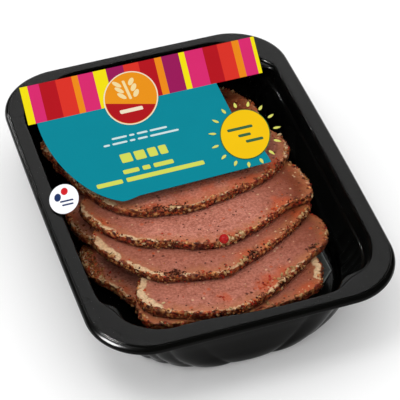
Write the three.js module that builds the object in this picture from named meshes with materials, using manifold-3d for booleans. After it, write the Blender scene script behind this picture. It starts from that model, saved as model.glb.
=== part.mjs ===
// A sealed retail tray of sliced, spice-crusted pork loin, in millimetres with +Z up.
// Black moulded tray with a flat flange and a turned-down lip, an absorbent pad on its
// floor, eight slices of meat fanned from back to front in two layers, a clear lid film,
// and the printed label, emblem and stickers that lie on the film.
// The origin is the middle of the tray's base, +X runs along the short front side and
// +Y to the back.
import * as THREE from "three";
import { mergeVertices } from "three/addons/utils/BufferGeometryUtils.js";
import Module from "manifold-3d";

const wasm = await Module();
wasm.setup();

// Tray: overall size, flange, lip and wall.
const PACK_WIDTH = 144;
const PACK_LENGTH = 190;
const RIM_HEIGHT = 38;
const RIM_CORNER = 26.7;
const SIDE_BOW = 1.1;
const END_BOW = 0.5;
const WALL = 0.9;
const LIP_DROP = 3.7;
const LIP_TURN = 1.2;
const OPENING_WIDTH = 127.6;
const OPENING_LENGTH = 176.8;
const OPENING_CORNER = 28;
const BASE_WIDTH = 109.4;
const BASE_LENGTH = 160.8;
const BASE_CORNER_X = 48;
const BASE_CORNER_Y = 45;
const FLOOR_TOP = 1.3;
const FLUTES = 44;
const FLUTE_DEPTH = 1.1;
const POINTS_PER_FLUTE = 3;

// Inside of the wall between its foot and the opening: half sizes and corner radii at three
// heights, with the share of the flutes' and the lugs' depth there.
const WALL_FOOT = { z: 7, x: 58.8, y: 84.5, corner: [46, 50], flute: 0.5 };
const WALL_MIDDLE = { z: 20, x: 60.5, y: 86, corner: [35, 40], flute: 0.5 };
const WALL_HEAD = { z: 31, x: 62.3, y: 87.4, corner: [31, 33], lug: 0.6 };
const FOOT_ROUNDING = 2.6;

// Inward bumps of the opening's edge that keep stacked trays apart, as X, Y of their middles.
const LUGS = [[45.9, -82], [-58.5, -72], [-45.9, 82], [58.5, 72]];
const LUG_DEPTH = 3.6;
const LUG_REACH = 7.5;

// Absorbent pad on the tray's floor.
const PAD = { left: -44.5, right: 52.4, front: -51, back: 57, chamfer: 10, thickness: 1.3 };

// Meat: slice thickness, the pitch between layers, and the sloping surface they all follow.
const SLICE_THICKNESS = 4.3;
const LAYER_PITCH = 4.9;
const FAN_TOP = 31.7;
const FAN_FRONT = -80;
const FAN_SLOPE = 0.165;
const DROOP_FROM = 20;
const DROOP = 6;
const DROOP_RUN = 50;
const OUTLINE_POINTS = 36;
const CRUST_ROUGHNESS = 0.5;
const GRAIN_DETAIL = 0;
const CLEARANCE = 0.3;

// Lid film and what is printed or stuck on it.
const FILM_MARGIN = 0.7;
const FILM_THICKNESS = 0.2;
const PRINT_THICKNESS = 0.2;
const FILM_Z = RIM_HEIGHT + CLEARANCE;
const PRINT_Z = FILM_Z + FILM_THICKNESS + CLEARANCE;
const BADGE_Z = PRINT_Z + PRINT_THICKNESS + CLEARANCE;

// One entry for each slice: its layer, counted down from the front slice of the upper fan,
// the outline seen from above, and the stretch of rim that carries loose spice, given as
// the outline points where it starts and ends, the number of grains, and whether another
// slice lies on it, which leaves them only the side of the rim.
const SLICES = [
  {
    name: "upper_slice_1", layer: -4, spice: { from: 0, to: 6, grains: 5, under: false },
    outline: [
      [48, 47.1], [46.7, 56.9], [44.2, 65.8], [39.5, 75.2], [17.5, 80.7], [-11.8, 81],
      [-39.1, 76.8], [-54.1, 64.9], [-57.9, 54.1], [-56.3, 42.7], [-48.6, 27.4], [-27.1, 14.6],
      [0.3, 10.6], [27.6, 16.5], [44.1, 31.3],
    ],
  },
  {
    name: "upper_slice_2", layer: -3, spice: { from: 0.5, to: 10.5, grains: 15, under: false },
    outline: [
      [-54.7, 47.4], [-52.4, 31.4], [-48.8, 16.6], [-40.3, -0.9], [-28.6, -11.1],
      [-11.3, -14.8], [-1.3, -15.6], [12.2, -12.8], [33.3, -6.2], [49.3, 5.9], [52.1, 12.7],
      [51.1, 23.6], [43.1, 39.4], [21.6, 50.2], [-9.6, 54.2], [-40.9, 53.3],
    ],
  },
  {
    name: "upper_slice_3", layer: -2, spice: { from: 0.6, to: 9.8, grains: 17, under: false },
    outline: [
      [-52.8, 7.1], [-48.4, -8.2], [-41.6, -18.3], [-33.5, -26.7], [-19, -34.2], [-7.6, -39.7],
      [7.2, -40.1], [20, -35.1], [38.3, -25.9], [50, -23.6], [52.8, -16.7], [52.7, -2.9],
      [47.1, 10.9], [29.5, 21.8], [0.3, 25.7], [-29, 23.8], [-46.5, 16.9],
    ],
  },
  {
    name: "upper_slice_4", layer: -1, spice: { from: 0.9, to: 8, grains: 16, under: false },
    outline: [
      [-52.4, -12.5], [-49.1, -24.5], [-42.2, -35.7], [-32, -48.7], [-19.1, -53.7],
      [-0.8, -56.3], [15.1, -49.4], [30.7, -40.3], [47.2, -28.3], [50.6, -18.5], [45.2, -3.7],
      [27.6, 6.2], [0.3, 10.1], [-27, 9.2], [-44.5, 1.3],
    ],
  },
  {
    name: "upper_slice_5", layer: 0, spice: { from: 1, to: 8, grains: 16, under: false },
    outline: [
      [-37.9, -39.6], [-43.5, -52.7], [-41.2, -62.7], [-29.9, -72.1], [-15.1, -77.4],
      [3.9, -76.4], [23.3, -66.1], [37.9, -55.2], [48.7, -47.6], [52, -31.1], [43.3, -21.3],
      [18, -16.8], [-9.3, -17.3], [-27.8, -25.2],
    ],
  },
  {
    name: "lower_slice_1", layer: 0, spice: { from: 1.4, to: 2.6, grains: 3, under: true },
    outline: [
      [-48.6, 37], [-56.3, 22.2], [-57, 5.6], [-53.4, -4.4], [-37.4, -11.4], [-13.2, -12.4],
      [14.1, -12.4], [35.6, -5.5], [46.2, 8.3], [45.2, 26.1], [31.5, 39.9], [0.2, 44.9],
      [-29.1, 43.9],
    ],
  },
  {
    name: "lower_slice_2", layer: 2, spice: { from: 2, to: 5, grains: 8, under: false },
    outline: [
      [-44.5, 3.7], [-53.8, 0.8], [-56.4, -8.1], [-55.5, -21.8], [-48.9, -32.5],
      [-43.9, -44.5], [-30.6, -54.4], [-9.1, -59.3], [14.3, -58.3], [33.7, -48.5],
      [43.4, -32.8], [43.4, -13.1], [29.7, 0.7], [0.4, 4.7],
    ],
  },
  {
    name: "lower_slice_3", layer: 1, spice: { from: 1, to: 8, grains: 10, under: true },
    outline: [
      [-40.4, -42.7], [-44.6, -57.2], [-43.8, -66.3], [-36.2, -72], [-18.8, -75.9],
      [4.5, -78.1], [24, -76.1], [35.7, -71.8], [40, -65.2], [42.5, -55.5], [37.5, -36.9],
      [19.9, -21.1], [-7.3, -18.1], [-28.7, -27],
    ],
  },
];

// The pink peppercorn that lies on the front edge of the third upper slice.
const PEPPERCORN = { x: 1.6, y: -40.3, radius: 1.8, rise: 0.3, detail: 1 };

// Printed label: a striped band along the back and a panel with a curved left side.
const BAND = { left: -60.4, right: 60.2, back: 84.7, front: 57.4, leanLeft: 2.7, leanRight: 5 };
const PANEL = { left: -58.8, right: 31.3, front: -4.8, corner: 37.7 };
// Ovals stuck or printed on it, which all lean the same way.
const OVAL_LEAN = -0.33;
const BADGE = { x: 32.4, y: 18.4, halfWidth: 11.9, halfHeight: 17.3, teeth: 20, tooth: 0.05 };
const EMBLEM = { x: -11.2, y: 60.4, halfWidth: 12.9, halfHeight: 19 };
const STICKER = { x: -60.4, y: 4.1, halfWidth: 6.5, halfHeight: 9.4 };

const MATERIALS = {
  tray: new THREE.MeshStandardMaterial({ color: 0x262624, roughness: 0.38 }),
  pad: new THREE.MeshStandardMaterial({ color: 0x2b2d2c, roughness: 0.9 }),
  meat: new THREE.MeshStandardMaterial({ color: 0xb97a66, roughness: 0.5 }),
  film: new THREE.MeshStandardMaterial({
    color: 0xffffff, roughness: 0.06, transparent: true, opacity: 0.12,
  }),
  label: new THREE.MeshStandardMaterial({ color: 0x008ca0, roughness: 0.45 }),
  badge: new THREE.MeshStandardMaterial({ color: 0xf8d00e, roughness: 0.45 }),
  emblem: new THREE.MeshStandardMaterial({ color: 0xe8781e, roughness: 0.45 }),
  sticker: new THREE.MeshStandardMaterial({ color: 0xf4f4f0, roughness: 0.5 }),
};

// A repeatable stream of numbers from 0 to 1.
function seededRandom(seed) {
  let state = seed;
  return () => {
    state = (state * 1664525 + 1013904223) % 4294967296;
    return state / 4294967296;
  };
}

// Closed solid through rings that all have the same number of points, its two ends capped
// by a fan to the point given with each.
function loft(rings, startPoint, endPoint) {
  const count = rings[0].length;
  const positions = [startPoint, ...rings.flat(), endPoint].flatMap((p) => [p.x, p.y, p.z]);
  const last = rings.length * count + 1;
  const index = [];
  for (let j = 0; j < count; j += 1) {
    const next = (j + 1) % count;
    index.push(0, 1 + j, 1 + next);
    for (let k = 0; k + 1 < rings.length; k += 1) {
      const a = 1 + k * count + j;
      const b = 1 + k * count + next;
      index.push(a, a + count, b + count);
      index.push(a, b + count, b);
    }
    index.push(last, last - count + next, last - count + j);
  }
  const geometry = new THREE.BufferGeometry();
  geometry.setAttribute("position", new THREE.Float32BufferAttribute(positions, 3));
  geometry.setIndex(index);
  return geometry;
}

function toSolid(geometry) {
  const bare = new THREE.BufferGeometry();
  bare.setAttribute("position", geometry.getAttribute("position"));
  if (geometry.index) bare.setIndex(geometry.index);
  const merged = mergeVertices(bare, 1e-4);
  const vertProperties = new Float32Array(merged.attributes.position.array);
  const triVerts = new Uint32Array(merged.index.array);
  return new wasm.Manifold(new wasm.Mesh({ numProp: 3, vertProperties, triVerts }));
}

function toGeometry(solid) {
  const { vertProperties, triVerts } = solid.getMesh();
  const geometry = new THREE.BufferGeometry();
  geometry.setAttribute("position", new THREE.BufferAttribute(vertProperties, 3));
  geometry.setIndex(new THREE.BufferAttribute(triVerts, 1));
  return geometry;
}

// Point at the share t of the way round a rectangle with elliptical corners, whose sides
// bow outwards.
function bowedRectangle(halfX, halfY, cornerX, cornerY, t) {
  const straightX = halfX - cornerX;
  const straightY = halfY - cornerY;
  const arc = (Math.PI / 2) * Math.sqrt((cornerX ** 2 + cornerY ** 2) / 2);
  const quarter = straightX + straightY + arc;
  const turn = Math.floor(t * 4) % 4;
  const s = (t * 4 - Math.floor(t * 4)) * quarter;
  const even = turn % 2 === 0;
  const first = even ? straightY : straightX;
  let u;
  let v;
  if (s < first) {
    [u, v] = even ? [halfX, s] : [s, halfY];
  } else if (s < first + arc) {
    const a = ((s - first) / arc) * (Math.PI / 2);
    const [towardsX, towardsY] = even ? [Math.cos(a), Math.sin(a)] : [Math.sin(a), Math.cos(a)];
    u = straightX + cornerX * towardsX;
    v = straightY + cornerY * towardsY;
  } else {
    const rest = quarter - s;
    [u, v] = even ? [rest, halfY] : [halfX, rest];
  }
  const x = [u, -u, -u, u][turn] * (1 - (SIDE_BOW / halfX) * (v / halfY) ** 2);
  const y = [v, v, -v, -v][turn] * (1 - (END_BOW / halfY) * (u / halfX) ** 2);
  return new THREE.Vector2(x, y);
}

// One level of the tray: half sizes, corner radii and height, with how far the lugs and
// the flutes stand in there.
function trayRing({ x, y, corner, z, lug = 0, flute = 0 }) {
  const count = FLUTES * POINTS_PER_FLUTE;
  const ring = [];
  for (let j = 0; j < count; j += 1) {
    const p = bowedRectangle(x, y, corner[0], corner[1], j / count);
    let inward = flute * FLUTE_DEPTH * (0.5 - 0.5 * Math.cos((2 * Math.PI * FLUTES * j) / count));
    for (const [lugX, lugY] of LUGS) {
      const away = Math.hypot(p.x - lugX, p.y - lugY);
      inward += lug * LUG_DEPTH * Math.exp(-((away / LUG_REACH) ** 2));
    }
    p.addScaledVector(p.clone().normalize(), -inward);
    ring.push(new THREE.Vector3(p.x, p.y, z));
  }
  return ring;
}

function makeTray() {
  const openX = OPENING_WIDTH / 2;
  const openY = OPENING_LENGTH / 2;
  const outX = PACK_WIDTH / 2;
  const outY = PACK_LENGTH / 2;
  const floorX = BASE_WIDTH / 2;
  const floorY = BASE_LENGTH / 2;
  const underFlange = RIM_HEIGHT - WALL;
  const base = (more) => [BASE_CORNER_X + more, BASE_CORNER_Y + more];
  const open = [OPENING_CORNER, OPENING_CORNER];
  const rim = [RIM_CORNER, RIM_CORNER];
  const thicken = (level) => ({ ...level, x: level.x + WALL, y: level.y + WALL });
  // Inside of the wall from the floor up to the flange.
  const inner = [
    { x: floorX, y: floorY, corner: base(0), z: FLOOR_TOP },
    { x: floorX + FOOT_ROUNDING, y: floorY + FOOT_ROUNDING, corner: base(2), z: FLOOR_TOP + 1.6 },
    WALL_FOOT,
    WALL_MIDDLE,
    WALL_HEAD,
    { x: openX - 0.4, y: openY - 0.4, corner: open, z: RIM_HEIGHT - 1, lug: 1 },
  ];
  const flange = [
    { x: openX + 0.3, y: openY + 0.3, corner: open, z: RIM_HEIGHT, lug: 1 },
    { x: outX - LIP_TURN, y: outY - LIP_TURN, corner: rim, z: RIM_HEIGHT },
    { x: outX, y: outY, corner: rim, z: RIM_HEIGHT - LIP_TURN },
    { x: outX, y: outY, corner: rim, z: RIM_HEIGHT - LIP_DROP },
    { x: outX - WALL, y: outY - WALL, corner: rim, z: RIM_HEIGHT - LIP_DROP },
    { x: outX - WALL, y: outY - WALL, corner: rim, z: underFlange - 0.4 },
  ];
  // Outside of the wall, from under the flange down to the base.
  const outer = [
    { x: openX + WALL, y: openY + WALL, corner: open, z: underFlange, lug: 0.9 },
    thicken(WALL_HEAD),
    thicken(WALL_MIDDLE),
    { ...thicken(WALL_FOOT), z: WALL_FOOT.z - WALL, flute: 0.9 },
    { x: floorX + 3.4, y: floorY + 3.4, corner: base(2), z: 1.7, flute: 1 },
    { x: floorX, y: floorY, corner: base(0), z: 0, flute: 0.4 },
  ];
  const rings = [...inner, ...flange, ...outer].map(trayRing);
  return loft(rings, new THREE.Vector3(0, 0, FLOOR_TOP), new THREE.Vector3(0, 0, 0));
}

function flatSheet(shape, z, thickness, curveSegments) {
  const options = { depth: thickness, bevelEnabled: false, curveSegments };
  return new THREE.ExtrudeGeometry(shape, options).translate(0, 0, z);
}

function makePad() {
  const { left, right, front, back, chamfer, thickness } = PAD;
  const shape = new THREE.Shape();
  shape.moveTo(left + chamfer, front);
  shape.lineTo(right - chamfer, front);
  shape.lineTo(right, front + chamfer);
  shape.lineTo(right, back - chamfer);
  shape.lineTo(right - chamfer, back);
  shape.lineTo(left + chamfer, back);
  shape.lineTo(left, back - chamfer);
  shape.lineTo(left, front + chamfer);
  return flatSheet(shape, FLOOR_TOP + CLEARANCE, thickness, 1);
}

// Height of the top face of the slices in the given layer: a surface that slopes down to
// the back, sags past the middle of the tray, and never dips into the pad.
function sliceTop(y, layer) {
  const sag = Math.max(0, (y - DROOP_FROM) / DROOP_RUN) ** 2;
  const fan = FAN_TOP - (y - FAN_FRONT) * FAN_SLOPE - DROOP * sag;
  const lowest = FLOOR_TOP + PAD.thickness + 2 * CLEARANCE + SLICE_THICKNESS;
  return Math.max(fan - layer * LAYER_PITCH, lowest);
}

// Slice of loin: flat faces, a rounded rim with an uneven crust, and grains fused to it.
function makeSlice({ layer, outline, spice }, number) {
  const random = seededRandom(4100 + 37 * number);
  const corners = outline.map(([x, y]) => new THREE.Vector3(x, y, 0));
  const curve = new THREE.CatmullRomCurve3(corners, true, "centripetal");
  const rim = curve.getSpacedPoints(OUTLINE_POINTS).slice(0, OUTLINE_POINTS);
  const box = new THREE.Box3().setFromPoints(rim);
  const middle = box.getCenter(new THREE.Vector3());
  const crust = rim.map(() => CRUST_ROUGHNESS * (random() - 0.5));
  const ring = (inset, drop, rough) => rim.map((p, j) => {
    const inwards = middle.clone().sub(p).normalize();
    const q = p.clone().addScaledVector(inwards, inset - rough * crust[j]);
    q.z = sliceTop(q.y, layer) - drop;
    return q;
  });
  const t = SLICE_THICKNESS;
  const rings = [
    ring(24, 0, 0),
    ring(6, 0, 0),
    ring(0.9, 0.15, 0.5),
    ring(0, 1.1, 1),
    ring(0.1, t - 1.1, 1),
    ring(0.9, t - 0.15, 0.5),
    ring(14, t, 0),
  ];
  const topPoint = middle.clone().setZ(sliceTop(middle.y, layer));
  const basePoint = topPoint.clone().setZ(topPoint.z - t);
  let solid = toSolid(loft(rings, topPoint, basePoint));
  // Where along the curve the outline's numbered points lie, and the grains between them.
  const { from, to, grains, under } = spice;
  for (let k = 0; k < grains; k += 1) {
    const along = from + (to - from) * ((k + 0.3 + 0.4 * random()) / grains);
    const u = along / outline.length;
    const place = curve.getPoint(u);
    const inwards = middle.clone().sub(place).normalize();
    const high = !under && k % 3 !== 0;
    place.addScaledVector(inwards, high ? 0.6 + 1.6 * random() : 0.1);
    const drop = high ? -0.1 : 1.5 + random();
    place.z = sliceTop(place.y, layer) - drop;
    const size = [1.2 + 0.5 * random(), 0.95 + 0.3 * random(), 0.8 + 0.2 * random()];
    const turn = new THREE.Euler(0.5 * random(), 0.5 * random(), Math.PI * random());
    solid = solid.add(grain(place, size, turn, GRAIN_DETAIL));
  }
  return solid;
}

function grain(place, [a, b, c], turn, detail) {
  const shape = new THREE.IcosahedronGeometry(1, detail);
  const matrix = new THREE.Matrix4().compose(
    place,
    new THREE.Quaternion().setFromEuler(turn),
    new THREE.Vector3(a, b, c),
  );
  return toSolid(shape.applyMatrix4(matrix));
}

function makeFilm() {
  const halfX = PACK_WIDTH / 2 - FILM_MARGIN;
  const halfY = PACK_LENGTH / 2 - FILM_MARGIN;
  const steps = 96;
  const points = [];
  for (let j = 0; j < steps; j += 1) {
    points.push(bowedRectangle(halfX, halfY, RIM_CORNER, RIM_CORNER, j / steps));
  }
  return flatSheet(new THREE.Shape(points), FILM_Z, FILM_THICKNESS, 1);
}

// Band and panel in one outline: down the curved left side, along the lower edge, up the
// right side, which leans out at its foot, and round the band.
function makeLabel() {
  const shape = new THREE.Shape();
  shape.moveTo(BAND.left, BAND.back);
  shape.lineTo(BAND.left - BAND.leanLeft, BAND.front);
  shape.lineTo(PANEL.left, BAND.front);
  shape.bezierCurveTo(PANEL.left - 2, 33.3, -52.4, 3.7, -35.7, PANEL.front - 1);
  shape.quadraticCurveTo(-31.8, PANEL.front - 1.8, -27, PANEL.front);
  shape.lineTo(PANEL.corner, PANEL.front + 1.6);
  shape.quadraticCurveTo(PANEL.corner + 0.4, 11.6, PANEL.right - 2, 31.3);
  shape.lineTo(PANEL.right, BAND.front);
  shape.lineTo(BAND.right - BAND.leanRight, BAND.front);
  shape.lineTo(BAND.right, BAND.back);
  return flatSheet(shape, PRINT_Z, PRINT_THICKNESS, 10);
}

// Leaning oval, with a toothed edge where teeth are asked for.
function ovalShape({ x, y, halfWidth, halfHeight, teeth = 0, tooth = 0 }) {
  const steps = teeth ? 2 * teeth : 36;
  const points = [];
  for (let j = 0; j < steps; j += 1) {
    const a = (2 * Math.PI * j) / steps;
    const reach = 1 - (j % 2) * tooth;
    const p = new THREE.Vector2(reach * halfWidth * Math.cos(a), reach * halfHeight * Math.sin(a));
    p.rotateAround(new THREE.Vector2(0, 0), OVAL_LEAN);
    points.push(p.add(new THREE.Vector2(x, y)));
  }
  return new THREE.Shape(points);
}

const pack = new THREE.Group();

function addMesh(name, geometry, material) {
  const mesh = new THREE.Mesh(geometry, material);
  mesh.name = name;
  pack.add(mesh);
}

addMesh("tray", makeTray(), MATERIALS.tray);
addMesh("absorbent_pad", makePad(), MATERIALS.pad);
SLICES.forEach((slice, number) => {
  let solid = makeSlice(slice, number);
  if (slice.name === "upper_slice_3") {
    const { x, y, radius, rise, detail } = PEPPERCORN;
    const place = new THREE.Vector3(x, y, sliceTop(y, slice.layer) + rise);
    solid = solid.add(grain(place, [radius, radius, radius], new THREE.Euler(), detail));
  }
  addMesh(slice.name, toGeometry(solid), MATERIALS.meat);
});
addMesh("lid_film", makeFilm(), MATERIALS.film);
addMesh("printed_label", makeLabel(), MATERIALS.label);
addMesh("oval_badge", flatSheet(ovalShape(BADGE), BADGE_Z, PRINT_THICKNESS, 1), MATERIALS.badge);
addMesh("oval_emblem", flatSheet(ovalShape(EMBLEM), BADGE_Z, PRINT_THICKNESS, 1), MATERIALS.emblem);
addMesh("small_sticker", flatSheet(ovalShape(STICKER), PRINT_Z, PRINT_THICKNESS, 1), MATERIALS.sticker);

export default pack;
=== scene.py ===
import math

import bmesh
import bpy
import numpy as np
from bpy.props import FloatProperty, FloatVectorProperty, IntProperty, PointerProperty
from mathutils import Matrix, Vector, noise


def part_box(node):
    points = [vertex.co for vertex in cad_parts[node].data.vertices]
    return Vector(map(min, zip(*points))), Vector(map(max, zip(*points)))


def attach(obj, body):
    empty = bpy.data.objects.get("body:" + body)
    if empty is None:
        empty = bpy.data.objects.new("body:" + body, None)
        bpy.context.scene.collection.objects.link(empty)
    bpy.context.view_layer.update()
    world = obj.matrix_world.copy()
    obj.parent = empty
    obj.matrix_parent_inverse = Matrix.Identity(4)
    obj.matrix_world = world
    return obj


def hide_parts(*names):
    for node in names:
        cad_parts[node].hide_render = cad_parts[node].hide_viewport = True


bl_info = {
    "name": "Tray pack of sliced pork loin",
    "version": (1, 0, 0),
    "blender": (4, 5, 0),
    "location": "3D View > Sidebar > Meat pack",
    "description": "Dresses a sealed tray of spice-crusted pork loin slices around its frame",
    "category": "Object",
}

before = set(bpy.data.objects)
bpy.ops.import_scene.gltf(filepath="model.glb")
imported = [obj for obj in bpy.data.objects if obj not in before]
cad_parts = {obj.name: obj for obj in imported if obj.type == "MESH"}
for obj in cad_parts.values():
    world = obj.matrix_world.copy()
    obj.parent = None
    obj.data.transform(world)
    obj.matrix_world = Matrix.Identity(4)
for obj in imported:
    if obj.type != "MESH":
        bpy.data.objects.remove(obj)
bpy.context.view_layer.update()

# Lengths below are in millimetres, and meshes are scaled by this when they are made.
MM = 0.001

# Tray, read from the frame: half width, half length and the height of the flange.
_, TRAY_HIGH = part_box("tray")
OUT_X = TRAY_HIGH.x / MM
OUT_Y = TRAY_HIGH.y / MM
RIM_HEIGHT = TRAY_HIGH.z / MM

# Tray: the sheet, the opening within the flange, the flange's corners and lip, the floor,
# the base with its raised middle and the way round it, and how far the long sides and the
# short ends bow out.
WALL = 0.9
OPEN_X = 63.8
OPEN_Y = 88.4
OPEN_CORNER = 28.0
RIM_CORNER = 26.7
LIP_DROP = 3.7
FLOOR_TOP = 1.3
BASE_X = 54.7
BASE_Y = 80.4
BASE_CORNER = (48.0, 45.0)
BASE_RISE = 0.5
BASE_ROUND = 480.0
SIDE_BOW = 1.1
END_BOW = 0.5

# Flutes of the wall. They are wide at the middle of each side, fan out towards its corners
# and fade round the corners themselves. For the fade, a point on a side counts as 1 and one
# on a corner as less: the flutes start to show at the first value, over the run after it.
FLUTES = 44
POINTS_PER_FLUTE = 14
FLUTE_WIDENING = 0.35
FLUTE_FAN = 2.2
FLUTE_SHARPNESS = 0.6
FLUTE_FADE_FROM = 0.7
FLUTE_FADE_RUN = 0.16

# Stacking lugs in the wall, by their places, with upright ribs that stop short of the rim.
LUGS = ((45.9, -82), (-60, -69.5), (-45.9, 82), (58.5, 72))
LUG_DEPTH = 3.6
LUG_REACH = 8.0
LUG_RIB_PITCH = 1.9
LUG_RIB_DEPTH = 0.3
LUG_RIB_STOP = 1.5

# Where the flange is wider: place, reach along the edge and extra width, and how far below
# the rim and out from the opening the widening ends.
LEDGES = ((-30, -88, 24, 3.4), (-52, -80, 9, 1.6))
LEDGE_DROP = 1.2
LEDGE_OUT = 1.3

# Absorbent pad: the cuts of its corners, the deeper cut of the front left one along the
# front and the side, how far its right side stands out past the solid pad, the width of
# the painted highlight along its sealed edge, and the steps along each side.
PAD_CUT = 6.0
PAD_DEEP_CUT = (18.0, 24.0)
PAD_RIGHT_OUT = 0.7
EDGE_HIGHLIGHT_WIDTH = 0.5
PAD_STEPS = 30

# Meat: the fanned surface that every slice follows, as in the frame.
LAYER_PITCH = 4.9
FAN_TOP = 31.7
FAN_FRONT = -80.0
FAN_SLOPE = 0.165
DROOP_FROM = 20.0
DROOP = 6.0
DROOP_RUN = 50.0
LOWEST_TOP = 7.5
RIM_STEPS = 420

# Slices: the radii of their upper and lower edges, how far in the side lies, how far down
# it still counts as the face and how far down stains run, the fat's reach where there is
# none and the stretch of outline points over which it tapers, and from where to where
# across the pack a slice grows browner towards its left and its right end.
ROUND_TOP = 0.9
ROUND_FOOT = 0.7
SIDE_INSET = 0.05
FACE_DEPTH = 0.35
STAIN_DEPTH = 0.5
NO_FAT = -6.0
FAT_TAPER = 0.35
LEFT_END = (-24.0, -48.0)
RIGHT_END = (20.0, 46.0)

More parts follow.
